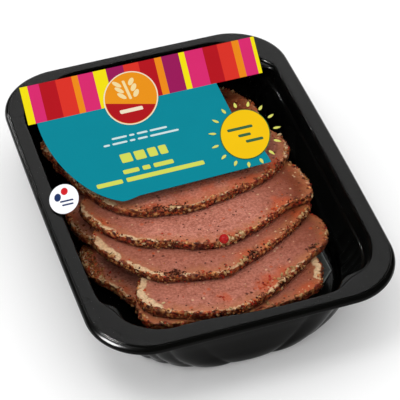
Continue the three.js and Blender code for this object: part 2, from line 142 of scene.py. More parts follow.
# One entry for each slice. The layer counts down from the front slice of the upper fan,
# the outline is seen from above, fat lists stretches of pale fat as first and last outline
# point, width and strength, and smears are spots of red oil as outline point, distance in
# from the rim, radius and strength. Tone runs from fresh pink to dark brown, and ends says
# how much browner the slice is at its left and right ends.
SLICES = (
    {
        "name": "upper_slice_1", "layer": -4, "tone": 0.6, "spice": 0.9,
        "ends": (0.2, 0.45),
        "outline": (
            (48, 47.1), (46.7, 56.9), (44.2, 65.8), (39.5, 75.2), (17.5, 80.7), (-11.8, 81),
            (-39.1, 76.8), (-54.1, 64.9), (-57.9, 54.1), (-56.3, 42.7), (-48.6, 27.4),
            (-27.1, 14.6), (0.3, 10.6), (27.6, 16.5), (44.1, 31.3),
        ),
        "fat": ((7.3, 10.4, 3.4, 0.9),),
        "smears": ((10.5, 4, 4, 0.6),),
    },
    {
        "name": "upper_slice_2", "layer": -3, "tone": 0.0, "spice": 1.15,
        "ends": (0.3, 0.45),
        "outline": (
            (-54.7, 47.4), (-52.4, 31.4), (-48.8, 16.6), (-40.3, -0.9), (-28.6, -11.1),
            (-11.3, -14.8), (-1.3, -15.6), (12.2, -12.8), (33.3, -6.2), (49.3, 5.9),
            (52.1, 12.7), (51.1, 23.6), (43.1, 39.4), (21.6, 50.2), (-9.6, 54.2),
            (-40.9, 53.3),
        ),
        "fat": (
            (0.2, 3.3, 3.4, 1.0), (3.3, 4.1, 1.6, 0.7), (4.5, 7.4, 1.6, 0.9),
            (8.8, 10.4, 3.0, 0.75),
        ),
        "smears": (
            (4.3, 3, 4, 0.9), (7.8, 4, 4.5, 0.8), (8.5, 2.5, 4, 1.0), (5.6, 4, 3, 0.4),
            (5.2, 9, 8, 0.55), (6.6, 9, 8, 0.55), (7.6, 8, 7, 0.6),
        ),
    },
    {
        "name": "upper_slice_3", "layer": -2, "tone": 0.05, "spice": 1.0,
        "ends": (0.45, 0.8),
        "outline": (
            (-52.8, 7.1), (-48.4, -8.2), (-41.6, -18.3), (-33.5, -26.7), (-19, -34.2),
            (-7.6, -39.7), (7.2, -40.1), (20, -35.1), (38.3, -25.9), (50, -23.6),
            (52.8, -16.7), (52.7, -2.9), (47.1, 10.9), (29.5, 21.8), (0.3, 25.7), (-29, 23.8),
            (-46.5, 16.9),
        ),
        "fat": (
            (-0.4, 1.9, 3.4, 0.8), (1.9, 3.6, 2.4, 1.0), (3.6, 5.2, 1.0, 0.7),
            (6.6, 8.2, 1.3, 0.8), (10.0, 11.6, 1.8, 0.8),
        ),
        "smears": ((8.05, 4.5, 6, 0.9), (0.9, 3, 4, 0.7), (5.9, 2, 3, 0.6)),
    },
    {
        "name": "upper_slice_4", "layer": -1, "tone": 0.34, "spice": 1.1,
        "ends": (0.1, 0.65),
        "outline": (
            (-52.4, -12.5), (-49.1, -24.5), (-42.2, -35.7), (-32, -48.7), (-19.1, -53.7),
            (-0.8, -56.3), (15.1, -49.4), (30.7, -40.3), (47.2, -28.3), (50.6, -18.5),
            (45.2, -3.7), (27.6, 6.2), (0.3, 10.1), (-27, 9.2), (-44.5, 1.3),
        ),
        "fat": (
            (-0.3, 1.6, 4.8, 1.0), (1.6, 3.3, 3.0, 1.0), (3.6, 4.2, 2.2, 1.0),
            (4.3, 5.7, 1.6, 0.9), (7.4, 8.1, 1.5, 0.6),
        ),
        "smears": ((5.7, 3, 5, 0.7), (6.5, 3, 4, 0.5), (7.8, 3, 4, 0.5)),
    },
    {
        "name": "upper_slice_5", "layer": 0, "tone": 0.2, "spice": 1.0,
        "ends": (0.15, 0.5),
        "outline": (
            (-37.9, -39.6), (-43.5, -52.7), (-41.2, -62.7), (-29.9, -72.1), (-15.1, -77.4),
            (3.9, -76.4), (23.3, -66.1), (37.9, -55.2), (48.7, -47.6), (52, -31.1),
            (43.3, -21.3), (18, -16.8), (-9.3, -17.3), (-27.8, -25.2),
        ),
        "fat": (
            (-0.3, 2.5, 4.6, 1.0), (2.3, 5.1, 1.8, 1.0), (5.2, 6.9, 2.2, 0.9),
            (7.2, 8.6, 1.6, 0.7),
        ),
        "smears": ((4.1, 10.5, 4, 0.8), (5.6, 5.5, 6, 1.0), (6.2, 5, 5, 0.8)),
    },
    {
        "name": "lower_slice_1", "layer": 0, "tone": 0.15, "spice": 0.7,
        "ends": (0, 0),
        "outline": (
            (-48.6, 37), (-56.3, 22.2), (-57, 5.6), (-53.4, -4.4), (-37.4, -11.4),
            (-13.2, -12.4), (14.1, -12.4), (35.6, -5.5), (46.2, 8.3), (45.2, 26.1),
            (31.5, 39.9), (0.2, 44.9), (-29.1, 43.9),
        ),
        "fat": ((1.6, 4.2, 2.6, 1.0),),
        "smears": ((1.6, 3, 4, 0.5),),
    },
    {
        "name": "lower_slice_2", "layer": 2, "tone": 0.1, "spice": 1.2,
        "ends": (0, 0),
        "outline": (
            (-44.5, 3.7), (-53.8, 0.8), (-56.4, -8.1), (-55.5, -21.8), (-48.9, -32.5),
            (-43.9, -44.5), (-30.6, -54.4), (-9.1, -59.3), (14.3, -58.3), (33.7, -48.5),
            (43.4, -32.8), (43.4, -13.1), (29.7, 0.7), (0.4, 4.7),
        ),
        "fat": ((0.8, 3.2, 2.6, 0.9), (3.2, 6.2, 2.0, 1.0)),
        "smears": ((1.6, 4, 4, 0.8), (2.8, 3, 5, 0.7), (4.4, 3, 4, 0.5)),
    },
    {
        "name": "lower_slice_3", "layer": 1, "tone": 0.4, "spice": 0.8,
        "ends": (0, 0.5),
        "outline": (
            (-40.4, -42.7), (-44.6, -57.2), (-43.8, -66.3), (-36.2, -72), (-18.8, -75.9),
            (4.5, -78.1), (24, -76.1), (35.7, -71.8), (40, -65.2), (42.5, -55.5),
            (37.5, -36.9), (19.9, -21.1), (-7.3, -18.1), (-28.7, -27),
        ),
        "fat": ((7.4, 9.6, 5.0, 0.8), (2.2, 5.6, 0.8, 0.5)),
        "smears": ((6.6, 3, 5, 0.8),),
    },
)

# Where spice lies thickest: slice, outline point, distance in from the rim, spread, number
# of grains and their kind.
CLUSTERS = (
    ("upper_slice_2", 4.35, 0.8, 3.4, 46, "pepper"),
    ("upper_slice_2", 4.9, 1.0, 3.0, 26, "pepper"),
    ("upper_slice_2", 8.4, 1.5, 3.6, 22, "flake"),
    ("upper_slice_2", 9.3, 1.0, 2.6, 14, "crumb"),
    ("upper_slice_3", 5.75, -0.5, 2.4, 14, "seed"),
    ("upper_slice_3", 6.3, 0.6, 3.0, 11, "seed"),
    ("upper_slice_3", 6.5, 0.0, 3.0, 16, "flake"),
    ("upper_slice_3", 7.6, 0.8, 4.0, 18, "flake"),
    ("upper_slice_3", 8.4, 0.5, 3.0, 16, "pepper"),
    ("upper_slice_4", 3.45, 2.0, 3.2, 60, "pepper"),
    ("upper_slice_4", 5.9, 1.2, 3.4, 34, "pepper"),
    ("upper_slice_4", 5.45, 0.4, 2.6, 10, "seed"),
    ("upper_slice_4", 7.7, 0.5, 2.4, 4, "seed"),
    ("upper_slice_5", 5.55, 5.0, 3.6, 26, "flake"),
    ("upper_slice_5", 6.2, 1.0, 4.2, 13, "seed"),
    ("upper_slice_5", 7.6, 4.6, 2.4, 22, "pepper"),
    ("upper_slice_5", 5.2, 0.2, 3.0, 22, "pepper"),
    ("upper_slice_5", 4.9, 0.2, 3.0, 16, "flake"),
    ("upper_slice_5", 4.05, 10.5, 1.8, 7, "flake"),
    ("lower_slice_2", 1.6, 2.5, 4.5, 90, "crumb"),
    ("lower_slice_2", 2.2, 3.0, 4.5, 40, "herb"),
    ("lower_slice_2", 2.8, 3.0, 4.5, 60, "crumb"),
    ("lower_slice_2", 2.4, 2.5, 4.5, 40, "flake"),
    ("lower_slice_2", 3.4, 1.0, 1.4, 4, "seed"),
    ("lower_slice_1", 2.6, 0.5, 4.5, 40, "crumb"),
)

# The pink peppercorn on the front edge of the third upper slice, with how high its middle
# is above the slice's face.
PEPPERCORN = {"x": 1.6, "y": -40.3, "radius": 2.25, "rise": 0.3, "layer": -2}

# Printed label: the striped band's height, how far its left and right ends lean, and the
# colours and widths of its stripes from left to right.
BAND_HEIGHT = 27.3
BAND_LEFT = 2.7
BAND_RIGHT = 5.0
STRIPES = (
    ("yellow", 3.8), ("pink", 5.8), ("crimson", 8.3), ("red", 8.1), ("orange", 3.2),
    ("pink", 7.8), ("yellow", 6.5), ("plum", 8.8), ("red", 7.9), ("crimson", 8.2),
    ("orange", 3.6), ("plum", 8.9), ("yellow", 3.0), ("pink", 9.5), ("crimson", 7.6),
    ("red", 7.6), ("orange", 3.7), ("pink", 6.3), ("yellow", 1.9),
)

# Label's panel: how far it stops short of the label's left, right and front, how far its
# front right corner does, where its right edge starts to bend, and where the rounded tip
# of its front left starts and ends.
PANEL_LEFT = 4.3
PANEL_RIGHT = 28.9
PANEL_FRONT = 1.2
PANEL_CORNER = 22.5
PANEL_BEND = 35
TIP_LEFT = -35.7
TIP_RIGHT = -27

# Rows of plain bars on the panel: ink, middle, height, and the left and right end of each
# bar; and the greatest radius of a bar's corners.
BAR_LINES = (
    ("white", 35.2, 1.3, ((-28.4, -20.9), (-19.8, -17.2), (-16.0, -10.7), (-9.6, -1.0))),
    ("white", 31.6, 1.3, (
        (-33.4, -30.3), (-29.1, -21.7), (-20.5, -17.8), (-16.6, -11.7), (-10.5, 3.7),
    )),
    ("lime", 20.9, 6.0, ((-28.2, -22.8), (-21.4, -16.2), (-14.8, -10.6), (-9.4, -5.6))),
    ("lime", 11.9, 2.8, ((-29.7, -22.0), (-20.3, -16.6), (-14.9, -5.3))),
    ("lime", 6.5, 2.8, ((-44.0, -31.6), (-29.7, 8.0))),
)
BAR_ROUND = 0.7

# Ovals of the badge, the emblem and the sticker, as half width and half height, with their
# lean in radians, the badge's rays and the oval that they start from, and the emblem's
# leaves with their lean in degrees.
OVAL_LEAN = -0.33
BADGE_EDGE = (11.9, 17.4)
BADGE_FACE = (11.5, 16.9)
RAYS = 15
RAY_START = (13.6, 19.2)
EMBLEM_EDGE = (13.2, 19.4)
EMBLEM_FACE = (12.6, 18.6)
EMBLEM_SASH = (12.4, 18.3)
STICKER_FACE = (6.7, 9.6)
LEAF = (2.9, 1.25)
LEAF_LEAN = 60

# Camera: how far it is moved across and up its picture, so that the pack sits as it does
# in the photo.
CAMERA_ACROSS = 3.559
CAMERA_UP = -10.783

# Studio: half the floor's width, and how much stronger the corner light is than the other
# edge light.
FLOOR_HALF = 3000
CORNER_STRENGTH = 40


def linear(red, green, blue):
    """Scene colour of a screen colour given from 0 to 255."""
    return tuple(
        (c / 255 / 12.92) if c <= 10 else ((c / 255 + 0.055) / 1.055) ** 2.4
        for c in (red, green, blue)
    )


def opaque(colour):
    """Four numbers for a colour socket, from three."""
    return (*colour, 1.0)


def darker(colour, share):
    """A colour at a share of its brightness."""
    return tuple(share * c for c in colour)


def in_mm(corners):
    """Corners of a box of the frame, in millimetres."""
    return [np.array(corner) / MM for corner in corners]


# Mesh making


def mesh_object(name, points, faces, materials, face_materials=None, smooth=True):
    """Object from points in millimetres and faces of three or more corners each."""
    mesh = bpy.data.meshes.new(name)
    mesh.from_pydata((np.asarray(points, float) * MM).tolist(), [], faces)
    for material in materials:
        mesh.materials.append(material)
    if face_materials is not None:
        mesh.polygons.foreach_set("material_index", np.asarray(face_materials, np.int32))
    mesh.polygons.foreach_set("use_smooth", np.full(len(mesh.polygons), smooth))
    mesh.update()
    piece = bpy.data.objects.new(name, mesh)
    bpy.context.scene.collection.objects.link(piece)
    return piece


def set_attribute(piece, name, values):
    """Stores one number for each vertex, for the material to read."""
    stored = piece.data.attributes.new(name, "FLOAT", "POINT")
    stored.data.foreach_set("value", np.asarray(values, np.float32))


def place(piece, slot, *nodes):
    """Makes a piece ride on the pack and hides the parts of the frame that it stands for. The
    slot is not used.
    """
    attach(piece, "root")
    if nodes:
        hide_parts(*nodes)


def closed_loft(rings, first_tip, last_tip):
    """Points and faces of a closed form: quads between its rings of points, and a fan at
    each end to a tip."""
    count = len(rings[0])
    last_ring = (len(rings) - 1) * count
    faces = []
    for a in range(0, last_ring, count):
        for j in range(count):
            n = (j + 1) % count
            faces.append((a + j, a + n, a + count + n, a + count + j))
    tip = last_ring + count
    faces.extend((tip, (j + 1) % count, j) for j in range(count))
    faces.extend((tip + 1, last_ring + j, last_ring + (j + 1) % count) for j in range(count))
    return np.vstack([*rings, first_tip, last_tip]), faces


def centripetal(points, steps, closed):
    """Centripetal Catmull-Rom samples through points of any number of dimensions."""
    points = np.asarray(points, float)
    count = len(points)
    if closed:
        spans = range(count)
        ring = [points[(i - 1) % count] for i in range(count + 3)]
    else:
        spans = range(count - 1)
        ring = [2 * points[0] - points[1], *points, 2 * points[-1] - points[-2]]
    rows, numbers = [], []
    for i in spans:
        before, start, end, after = ring[i:i + 4]
        a, b, c = (
            max(np.linalg.norm(q - p), 1e-4) ** 0.5
            for p, q in ((before, start), (start, end), (end, after))
        )
        leave = ((start - before) / a - (end - before) / (a + b) + (end - start) / b) * b
        arrive = ((end - start) / b - (after - start) / (b + c) + (after - end) / c) * b
        for k in range(steps):
            t = k / steps
            rows.append(
                (2 * t ** 3 - 3 * t ** 2 + 1) * start + (t ** 3 - 2 * t ** 2 + t) * leave
                + (3 * t ** 2 - 2 * t ** 3) * end + (t ** 3 - t ** 2) * arrive
            )
            numbers.append(i + t)
    if not closed:
        rows.append(points[-1])
        numbers.append(count - 1)
    return np.array(rows), np.array(numbers)


def value_noise(points, size, seed):
    """Smooth noise from -1 to 1 at points in millimetres, with lumps of the given size."""
    offset = Vector((seed * 17.3, seed * 5.1, seed * 9.7))
    return np.array([noise.noise(Vector(p) / size + offset) for p in points])


def nearness(points, x, y, reach):
    """1 at a place seen from above, falling to 0 at about twice the reach from it."""
    away = np.hypot(points[:, 0] - x, points[:, 1] - y)
    return np.exp(-((away / reach) ** 2))


# Shader nodes


def node(tree, kind, inputs=None, **settings):
    """New node with its settings, and its inputs linked to a socket or set to a value."""
    made = tree.nodes.new(kind)
    made.location = (190 * (len(tree.nodes) % 12), -260 * (len(tree.nodes) // 12))
    for name, value in settings.items():
        setattr(made, name, value)
    for name, value in (inputs or {}).items():
        if isinstance(value, bpy.types.NodeSocket):
            tree.links.new(value, made.inputs[name])
        else:
            made.inputs[name].default_value = value
    return made


def maths(tree, operation, a, b, clamp=False):
    """Result of a sum, product or other operation on two values."""
    made = node(tree, "ShaderNodeMath", {0: a, 1: b}, operation=operation, use_clamp=clamp)
    return made.outputs[0]


def plus(tree, value, mask, share, clamp=False):
    """A value with a share of a mask added to it."""
    return maths(tree, "ADD", value, maths(tree, "MULTIPLY", mask, share), clamp=clamp)


def between(tree, value, low, high):
    """Smooth step of a value from 0 at low to 1 at high."""
    made = node(
        tree, "ShaderNodeMapRange", {"Value": value, "From Min": low, "From Max": high},
        interpolation_type="SMOOTHSTEP",
    )
    return made.outputs["Result"]


def blend(tree, factor, a, b):
    """Mixes two colours, each a socket or three numbers."""
    made = node(tree, "ShaderNodeMix", {0: factor}, data_type="RGBA")
    for socket, colour in ((made.inputs[6], a), (made.inputs[7], b)):
        if isinstance(colour, bpy.types.NodeSocket):
            tree.links.new(colour, socket)
        else:
            socket.default_value = opaque(colour)
    return made.outputs[2]


def stain(tree, colour, mask, strength, other):
    """Mixes another colour into one where a mask is, at a strength from 0 to 1."""
    return blend(tree, maths(tree, "MULTIPLY", mask, strength), colour, other)


def attribute(tree, name):
    """Number that the mesh holds for each vertex under a name."""
    return node(tree, "ShaderNodeAttribute", attribute_name=name).outputs["Fac"]


def new_group(name, inputs, outputs):
    """Empty shader group with named sockets, and its two end nodes."""
    group = bpy.data.node_groups.new(name, "ShaderNodeTree")
    for socket, kind, default in inputs:
        made = group.interface.new_socket(socket, in_out="INPUT", socket_type=kind)
        made.default_value = default
    for socket, kind in outputs:
        group.interface.new_socket(socket, in_out="OUTPUT", socket_type=kind)
    return group, node(group, "NodeGroupInput"), node(group, "NodeGroupOutput")


def mottle_group():
    """Cloudy mask from 0 to 1, with lumps of a given size, sharpened about its middle."""
    name = "Mottle"
    if name in bpy.data.node_groups:
        return bpy.data.node_groups[name]
    group, ins, outs = new_group(
        name,
        (
            ("Size", "NodeSocketFloat", 0.01), ("Detail", "NodeSocketFloat", 2.0),
            ("Contrast", "NodeSocketFloat", 1.0), ("Seed", "NodeSocketFloat", 0.0),
        ),
        (("Mask", "NodeSocketFloat"),),
    )
    scale = maths(group, "DIVIDE", 1.0, ins.outputs["Size"])
    texture = node(
        group, "ShaderNodeTexNoise",
        {
            "Vector": node(group, "ShaderNodeTexCoord").outputs["Object"],
            "W": ins.outputs["Seed"], "Scale": scale, "Detail": ins.outputs["Detail"],
        },
        noise_dimensions="4D",
    )
    centred = maths(group, "SUBTRACT", texture.outputs["Fac"], 0.5)
    strong = maths(group, "MULTIPLY", centred, ins.outputs["Contrast"])
    group.links.new(maths(group, "ADD", strong, 0.5, clamp=True), outs.inputs["Mask"])
    return group


def speckle_group():
    """Mask of scattered spots: how far apart they are, and how large beside that."""
    name = "Speckle"
    if name in bpy.data.node_groups:
        return bpy.data.node_groups[name]
    group, ins, outs = new_group(
        name,
        (
            ("Spacing", "NodeSocketFloat", 0.004), ("Spot", "NodeSocketFloat", 0.15),
            ("Share", "NodeSocketFloat", 0.5), ("Seed", "NodeSocketFloat", 0.0),
        ),
        (("Mask", "NodeSocketFloat"),),
    )
    shifted = node(
        group, "ShaderNodeVectorMath",
        {0: node(group, "ShaderNodeTexCoord").outputs["Object"], 1: ins.outputs["Seed"]},
        operation="ADD",
    )
    texture = node(
        group, "ShaderNodeTexVoronoi",
        {
            "Vector": shifted.outputs["Vector"],
            "Scale": maths(group, "DIVIDE", 1.0, ins.outputs["Spacing"]),
        },
    )
    parts = node(group, "ShaderNodeSeparateColor", {"Color": texture.outputs["Color"]})
    size = maths(group, "MULTIPLY", parts.outputs["Green"], ins.outputs["Spot"])
    inside = maths(group, "SUBTRACT", size, texture.outputs["Distance"])
    spot = between(group, inside, 0.0, 0.06)
    kept = maths(group, "LESS_THAN", parts.outputs["Red"], ins.outputs["Share"])
    group.links.new(maths(group, "MULTIPLY", spot, kept), outs.inputs["Mask"])
    return group


def relief_group():
    """Normal of a rough surface whose lumps have a given size and height."""
    name = "Relief"
    if name in bpy.data.node_groups:
        return bpy.data.node_groups[name]
    group, ins, outs = new_group(
        name,
        (
            ("Size", "NodeSocketFloat", 0.001), ("Height", "NodeSocketFloat", 0.0001),
            ("Detail", "NodeSocketFloat", 3.0), ("Extra", "NodeSocketFloat", 0.0),
        ),
        (("Normal", "NodeSocketVector"),),
    )
    texture = node(
        group, "ShaderNodeTexNoise",
        {
            "Vector": node(group, "ShaderNodeTexCoord").outputs["Object"],
            "Scale": maths(group, "DIVIDE", 1.0, ins.outputs["Size"]),
            "Detail": ins.outputs["Detail"],
        },
    )
    height = maths(group, "ADD", texture.outputs["Fac"], ins.outputs["Extra"])
    bump = node(
        group, "ShaderNodeBump", {"Height": height, "Distance": ins.outputs["Height"]}
    )
    group.links.new(bump.outputs["Normal"], outs.inputs["Normal"])
    return group


def use(tree, group, **values):
    """Places a shader group in a material with its own values."""
    made = node(tree, "ShaderNodeGroup", node_tree=group)
    for name, value in values.items():
        if isinstance(value, bpy.types.NodeSocket):
            tree.links.new(value, made.inputs[name])
        else:
            made.inputs[name].default_value = value
    return made.outputs[0]


def new_material(name):
    """Empty node material with its Principled shader."""
    material = bpy.data.materials.new(name)
    material.use_nodes = True
    shader = material.node_tree.nodes["Principled BSDF"]
    return material, material.node_tree, shader


def feed(tree, shader, **sockets):
    """Links values that change over the surface to the shader, and sets the others."""
    names = {
        "colour": "Base Color", "roughness": "Roughness", "normal": "Normal",
        "alpha": "Alpha", "ior": "IOR", "specular": "Specular IOR Level",
        "coat": "Coat Weight", "coat_roughness": "Coat Roughness",
    }
    for key, value in sockets.items():
        socket = shader.inputs[names[key]]
        if isinstance(value, bpy.types.NodeSocket):
            tree.links.new(value, socket)
        elif isinstance(value, tuple):
            socket.default_value = opaque(value)
        else:
            socket.default_value = value


# Settings that a user would change


class TrayLook(bpy.types.PropertyGroup):
    """Settings of the tray and its pad"""

    plastic: FloatVectorProperty(
        name="Plastic", description="Colour of the moulded sheet", subtype="COLOR",
        size=3, min=0.0, max=1.0, default=linear(8, 8, 7),
    )
    roughness: FloatProperty(
        name="Roughness", description="How matt the moulded sheet is",
        subtype="FACTOR", min=0.0, max=1.0, default=0.17,
    )
    flute_depth: FloatProperty(
        name="Flute depth", description="How far the wall's flutes stand in",
        unit="LENGTH", min=0.0, max=0.003, default=0.0013,
    )
    pad: FloatVectorProperty(
        name="Pad", description="Colour of the absorbent pad", subtype="COLOR",
        size=3, min=0.0, max=1.0, default=linear(92, 98, 94),
    )


class MeatLook(bpy.types.PropertyGroup):
    """Settings of the slices of loin"""

    thickness: FloatProperty(
        name="Slice thickness", description="Thickness of a slice of loin",
        unit="LENGTH", min=0.002, max=0.0046, default=0.0045,
    )
    lean_light: FloatVectorProperty(
        name="Lean, light", description="Lighter colour of the lean meat", subtype="COLOR",
        size=3, min=0.0, max=1.0, default=linear(228, 150, 128),
    )
    lean_dark: FloatVectorProperty(
        name="Lean, dark", description="Darker colour of the lean meat", subtype="COLOR",
        size=3, min=0.0, max=1.0, default=linear(152, 82, 64),
    )
    lean_brown: FloatVectorProperty(
        name="Lean, brown", description="Colour of meat that the spice has soaked",
        subtype="COLOR", size=3, min=0.0, max=1.0, default=linear(124, 56, 30),
    )
    lean_tan: FloatVectorProperty(
        name="Lean, tan", description="Colour of the lean meat next to its rim",
        subtype="COLOR", size=3, min=0.0, max=1.0, default=linear(212, 138, 88),
    )
    fat: FloatVectorProperty(
        name="Fat", description="Colour of the rim of fat", subtype="COLOR",
        size=3, min=0.0, max=1.0, default=linear(232, 200, 158),
    )
    oil: FloatVectorProperty(
        name="Spiced oil", description="Colour of the smears of spiced oil",
        subtype="COLOR", size=3, min=0.0, max=1.0, default=linear(190, 78, 34),
    )
    crust: FloatVectorProperty(
        name="Crust", description="Darkest colour of the spiced rim", subtype="COLOR",
        size=3, min=0.0, max=1.0, default=linear(66, 20, 8),
    )


class SpiceLook(bpy.types.PropertyGroup):
    """Settings of the loose spice"""

    density: FloatProperty(
        name="Density", description="Grains of spice for each millimetre of rim",
        min=0.0, max=6.0, default=3.8,
    )
    pepper_size: FloatProperty(
        name="Pepper size", description="Usual size of a cracked pepper grain",
        unit="LENGTH", min=0.0003, max=0.003, default=0.0009,
    )
    seed: IntProperty(
        name="Seed", description="Start of the random draw that spreads the spice",
        min=0, max=9999, default=71,
    )


class PrintLook(bpy.types.PropertyGroup):
    """Settings of the print and the film"""

    panel: FloatVectorProperty(
        name="Panel", description="Colour of the label's panel", subtype="COLOR",
        size=3, min=0.0, max=1.0, default=linear(0, 128, 144),
    )
    bars: FloatVectorProperty(
        name="Bars", description="Colour of the larger bars on the panel", subtype="COLOR",
        size=3, min=0.0, max=1.0, default=linear(200, 206, 84),
    )
    badge: FloatVectorProperty(
        name="Badge", description="Colour of the sun badge", subtype="COLOR",
        size=3, min=0.0, max=1.0, default=linear(232, 186, 6),
    )
    film_alpha: FloatProperty(
        name="Film strength", description="How much the clear film veils what is under it",
        subtype="FACTOR", min=0.0, max=1.0, default=0.008,
    )


class StudioLook(bpy.types.PropertyGroup):
    """Settings of the camera, the lights and the floor"""

    azimuth: FloatProperty(
        name="Camera azimuth", description="Turn of the camera round the pack",
        subtype="ANGLE", default=math.radians(-18.263),
    )
    elevation: FloatProperty(
        name="Camera elevation", description="Angle of the camera above the horizon",
        subtype="ANGLE", default=math.radians(44.83),
    )
    roll: FloatProperty(
        name="Camera roll", description="Turn of the camera about its own axis",
        subtype="ANGLE", default=math.radians(-0.332),
    )
    distance: FloatProperty(
        name="Camera distance", description="From the middle of the flange to the camera",
        unit="LENGTH", default=0.89025,
    )
    lens: FloatProperty(
        name="Lens", description="Focal length of the camera in millimetres",
        min=10.0, max=400.0, default=173.1,
    )
    world: FloatProperty(
        name="Room light", description="Strength of the even light from all sides",
        min=0.0, max=5.0, default=1.06,
    )
    key: FloatProperty(
        name="Key light", description="Power of the soft light above the pack",
        unit="POWER", min=0.0, max=200.0, default=1.3,
    )
    sheen: FloatProperty(
        name="Sheen light", description="Power of the large light that only shows in reflections",
        unit="POWER", min=0.0, max=200.0, default=8.4,
    )
    accent: FloatProperty(
        name="Edge lights", description="Power of the small lights that glint on the edges",
        unit="POWER", min=0.0, max=200.0, default=2.4,
    )
    floor: FloatVectorProperty(
        name="Floor", description="Colour of the studio floor", subtype="COLOR",
        size=3, min=0.0, max=1.0, default=(0.99, 0.99, 0.99),
    )


# Tray


def bowed_rectangle(half_x, half_y, corner_x, corner_y, t):
    """Points round a rectangle with elliptical corners and sides that bow outwards."""
    straight_x = half_x - corner_x
    straight_y = half_y - corner_y
    arc = math.pi / 2 * math.sqrt((corner_x ** 2 + corner_y ** 2) / 2)
    quarter = straight_x + straight_y + arc
    turn = np.floor(t * 4).astype(int) % 4
    s = (t * 4 - np.floor(t * 4)) * quarter
    even = turn % 2 == 0
    first = np.where(even, straight_y, straight_x)
    angle = np.clip((s - first) / arc, 0, 1) * math.pi / 2
    towards_x = np.where(even, np.cos(angle), np.sin(angle))
    towards_y = np.where(even, np.sin(angle), np.cos(angle))
    u = straight_x + corner_x * towards_x
    v = straight_y + corner_y * towards_y
    u = np.where((s < first) & ~even, s, u)
    v = np.where((s < first) & even, s, v)
    rest = quarter - s
    u = np.where((s > first + arc) & even, rest, u)
    v = np.where((s > first + arc) & ~even, rest, v)
    x = np.choose(turn, [u, -u, -u, u]) * (1 - SIDE_BOW / half_x * (v / half_y) ** 2)
    y = np.choose(turn, [v, v, -v, -v]) * (1 - END_BOW / half_y * (u / half_x) ** 2)
    return np.stack([x, y], 1)


def tray_rows():
    """Levels of the tray, from the floor's edge up the inside, over the flange and lip,
    and down the outside to the base: z, half x, half y, corner x, corner y, lug, flute."""
    top = RIM_HEIGHT
    base_x, base_y = BASE_CORNER
    # The wall rises from the rounded foot, has a soft crease, and then the lugs' shelf.
    inside = (
        (FLOOR_TOP, BASE_X, BASE_Y, base_x, base_y, 0, 0),
        (FLOOR_TOP + 0.5, BASE_X + 1.5, BASE_Y + 1.5, base_x + 1, base_y + 1, 0, 0),
        (FLOOR_TOP + 1.6, BASE_X + 2.6, BASE_Y + 2.6, base_x + 2, base_y + 2, 0, 0.1),
        (7, 58.8, 84.5, 46, 50, 0, 0.4),
        (13, 59.6, 85.2, 40, 45, 0, 0.4),
        (20, 60.5, 86, 35, 40, 0, 0.3),
        (26.6, 61.5, 86.9, 32, 34.6, 0.4, 0.1),
        (27.4, 61.7, 87.1, 31.8, 34.2, 0.5, 0),
        (28.2, 62.35, 87.7, 31.8, 34, 0.5, 0),
        (29, 62.6, 87.95, 31.4, 33.6, 0.6, 0),
        (33, 63.1, 88.2, 30, 31, 1.1, 0),
        (top - 2.6, 63.3, 88.2, 29.5, 30.5, 1.75, 0),
        (top - 2.1, 63.4, 88.3, 29, 29.5, 1.8, 0),
        (top - 1.8, 63.4, 88.3, 29, 29.5, 1.5, 0),
        (top - 1.6, 63.4, 88.3, 28.5, 28.5, 1.05, 0),
        (top - 1.3, OPEN_X - 0.4, OPEN_Y - 0.4, OPEN_CORNER, OPEN_CORNER, 1, 0),
    )
    fine, _ = centripetal(inside, 4, closed=False)
    # Over the rounded edge of the opening: how far down and how far out.
    opening = [
        (top - drop, OPEN_X + out, OPEN_Y + out, OPEN_CORNER, OPEN_CORNER, 1, 0)
        for drop, out in ((0.95, -0.3), (0.6, -0.2), (0.2, 0.1), (0.05, 0.5), (0, 1.2))
    ]
    # Across the flange, down a small step to a narrow shelf, then round and down the lip.
    edge = (
        (0, -4.4), (0, -2.8), (0, -2.1), (0.02, -1.85), (0.1, -1.68), (0.35, -1.58),
        (0.6, -1.5), (0.74, -1.4), (0.82, -1.26), (0.92, -1.08), (1.12, -0.84),
        (1.5, -0.48), (1.9, -0.24), (2.4, -0.1), (3.0, -0.02), (3.35, 0), (3.56, -0.06),
        (LIP_DROP, -0.25), (LIP_DROP, -0.6), (3.5, -WALL), (2.9, -WALL - 0.15),
        (2.4, -WALL - 0.35), (2.0, -WALL - 0.7), (1.75, -2.1), (1.2, -2.6), (WALL, -3.1),
        (WALL, -3.8),
    )
    flange = [
        (top - drop, OUT_X + out, OUT_Y + out, RIM_CORNER, RIM_CORNER, 0, 0)
        for drop, out in edge
    ]
    # Down the outside, one sheet's thickness from the inside.
    outside = [
        (top - WALL, OPEN_X + WALL + 0.4, OPEN_Y + WALL + 0.4, OPEN_CORNER, OPEN_CORNER, 0.9, 0),
        (top - 1.6, 64.3, 89.1, 28.5, 28.8, 0.85, 0.03),
        (31, 62.3 + WALL, 87.4 + WALL, 31, 33, 0.6, 0.12),
        (25, 61.4 + WALL, 86.7 + WALL, 33, 36, 0.1, 0.3),
        (20, 60.5 + WALL, 86 + WALL, 35, 40, 0, 0.55),
        (12, 59.6 + WALL, 85.2 + WALL, 40, 45, 0, 0.85),
        (6.1, 58.8 + WALL, 84.5 + WALL, 46, 50, 0, 0.95),
        (1.7, BASE_X + 3.4, BASE_Y + 3.4, base_x + 2, base_y + 2, 0, 0.8),
        (0.35, BASE_X + 1.4, BASE_Y + 1.4, base_x + 1, base_y + 1, 0, 0.45),
        (0, BASE_X, BASE_Y, base_x, base_y, 0, 0.25),
    ]
    fine_outside, _ = centripetal(outside, 6, closed=False)
    # Under the base, which rises a little within its rim.
    foot = [
        (z, BASE_X - inset, BASE_Y - inset, base_x, base_y, 0, 0)
        for z, inset in ((0, 3.5), (0.1, 4.2), (0.4, 4.9), (BASE_RISE, 5.6), (BASE_RISE, 20))
    ]
    return [*fine, *opening, *flange, *fine_outside, *foot]


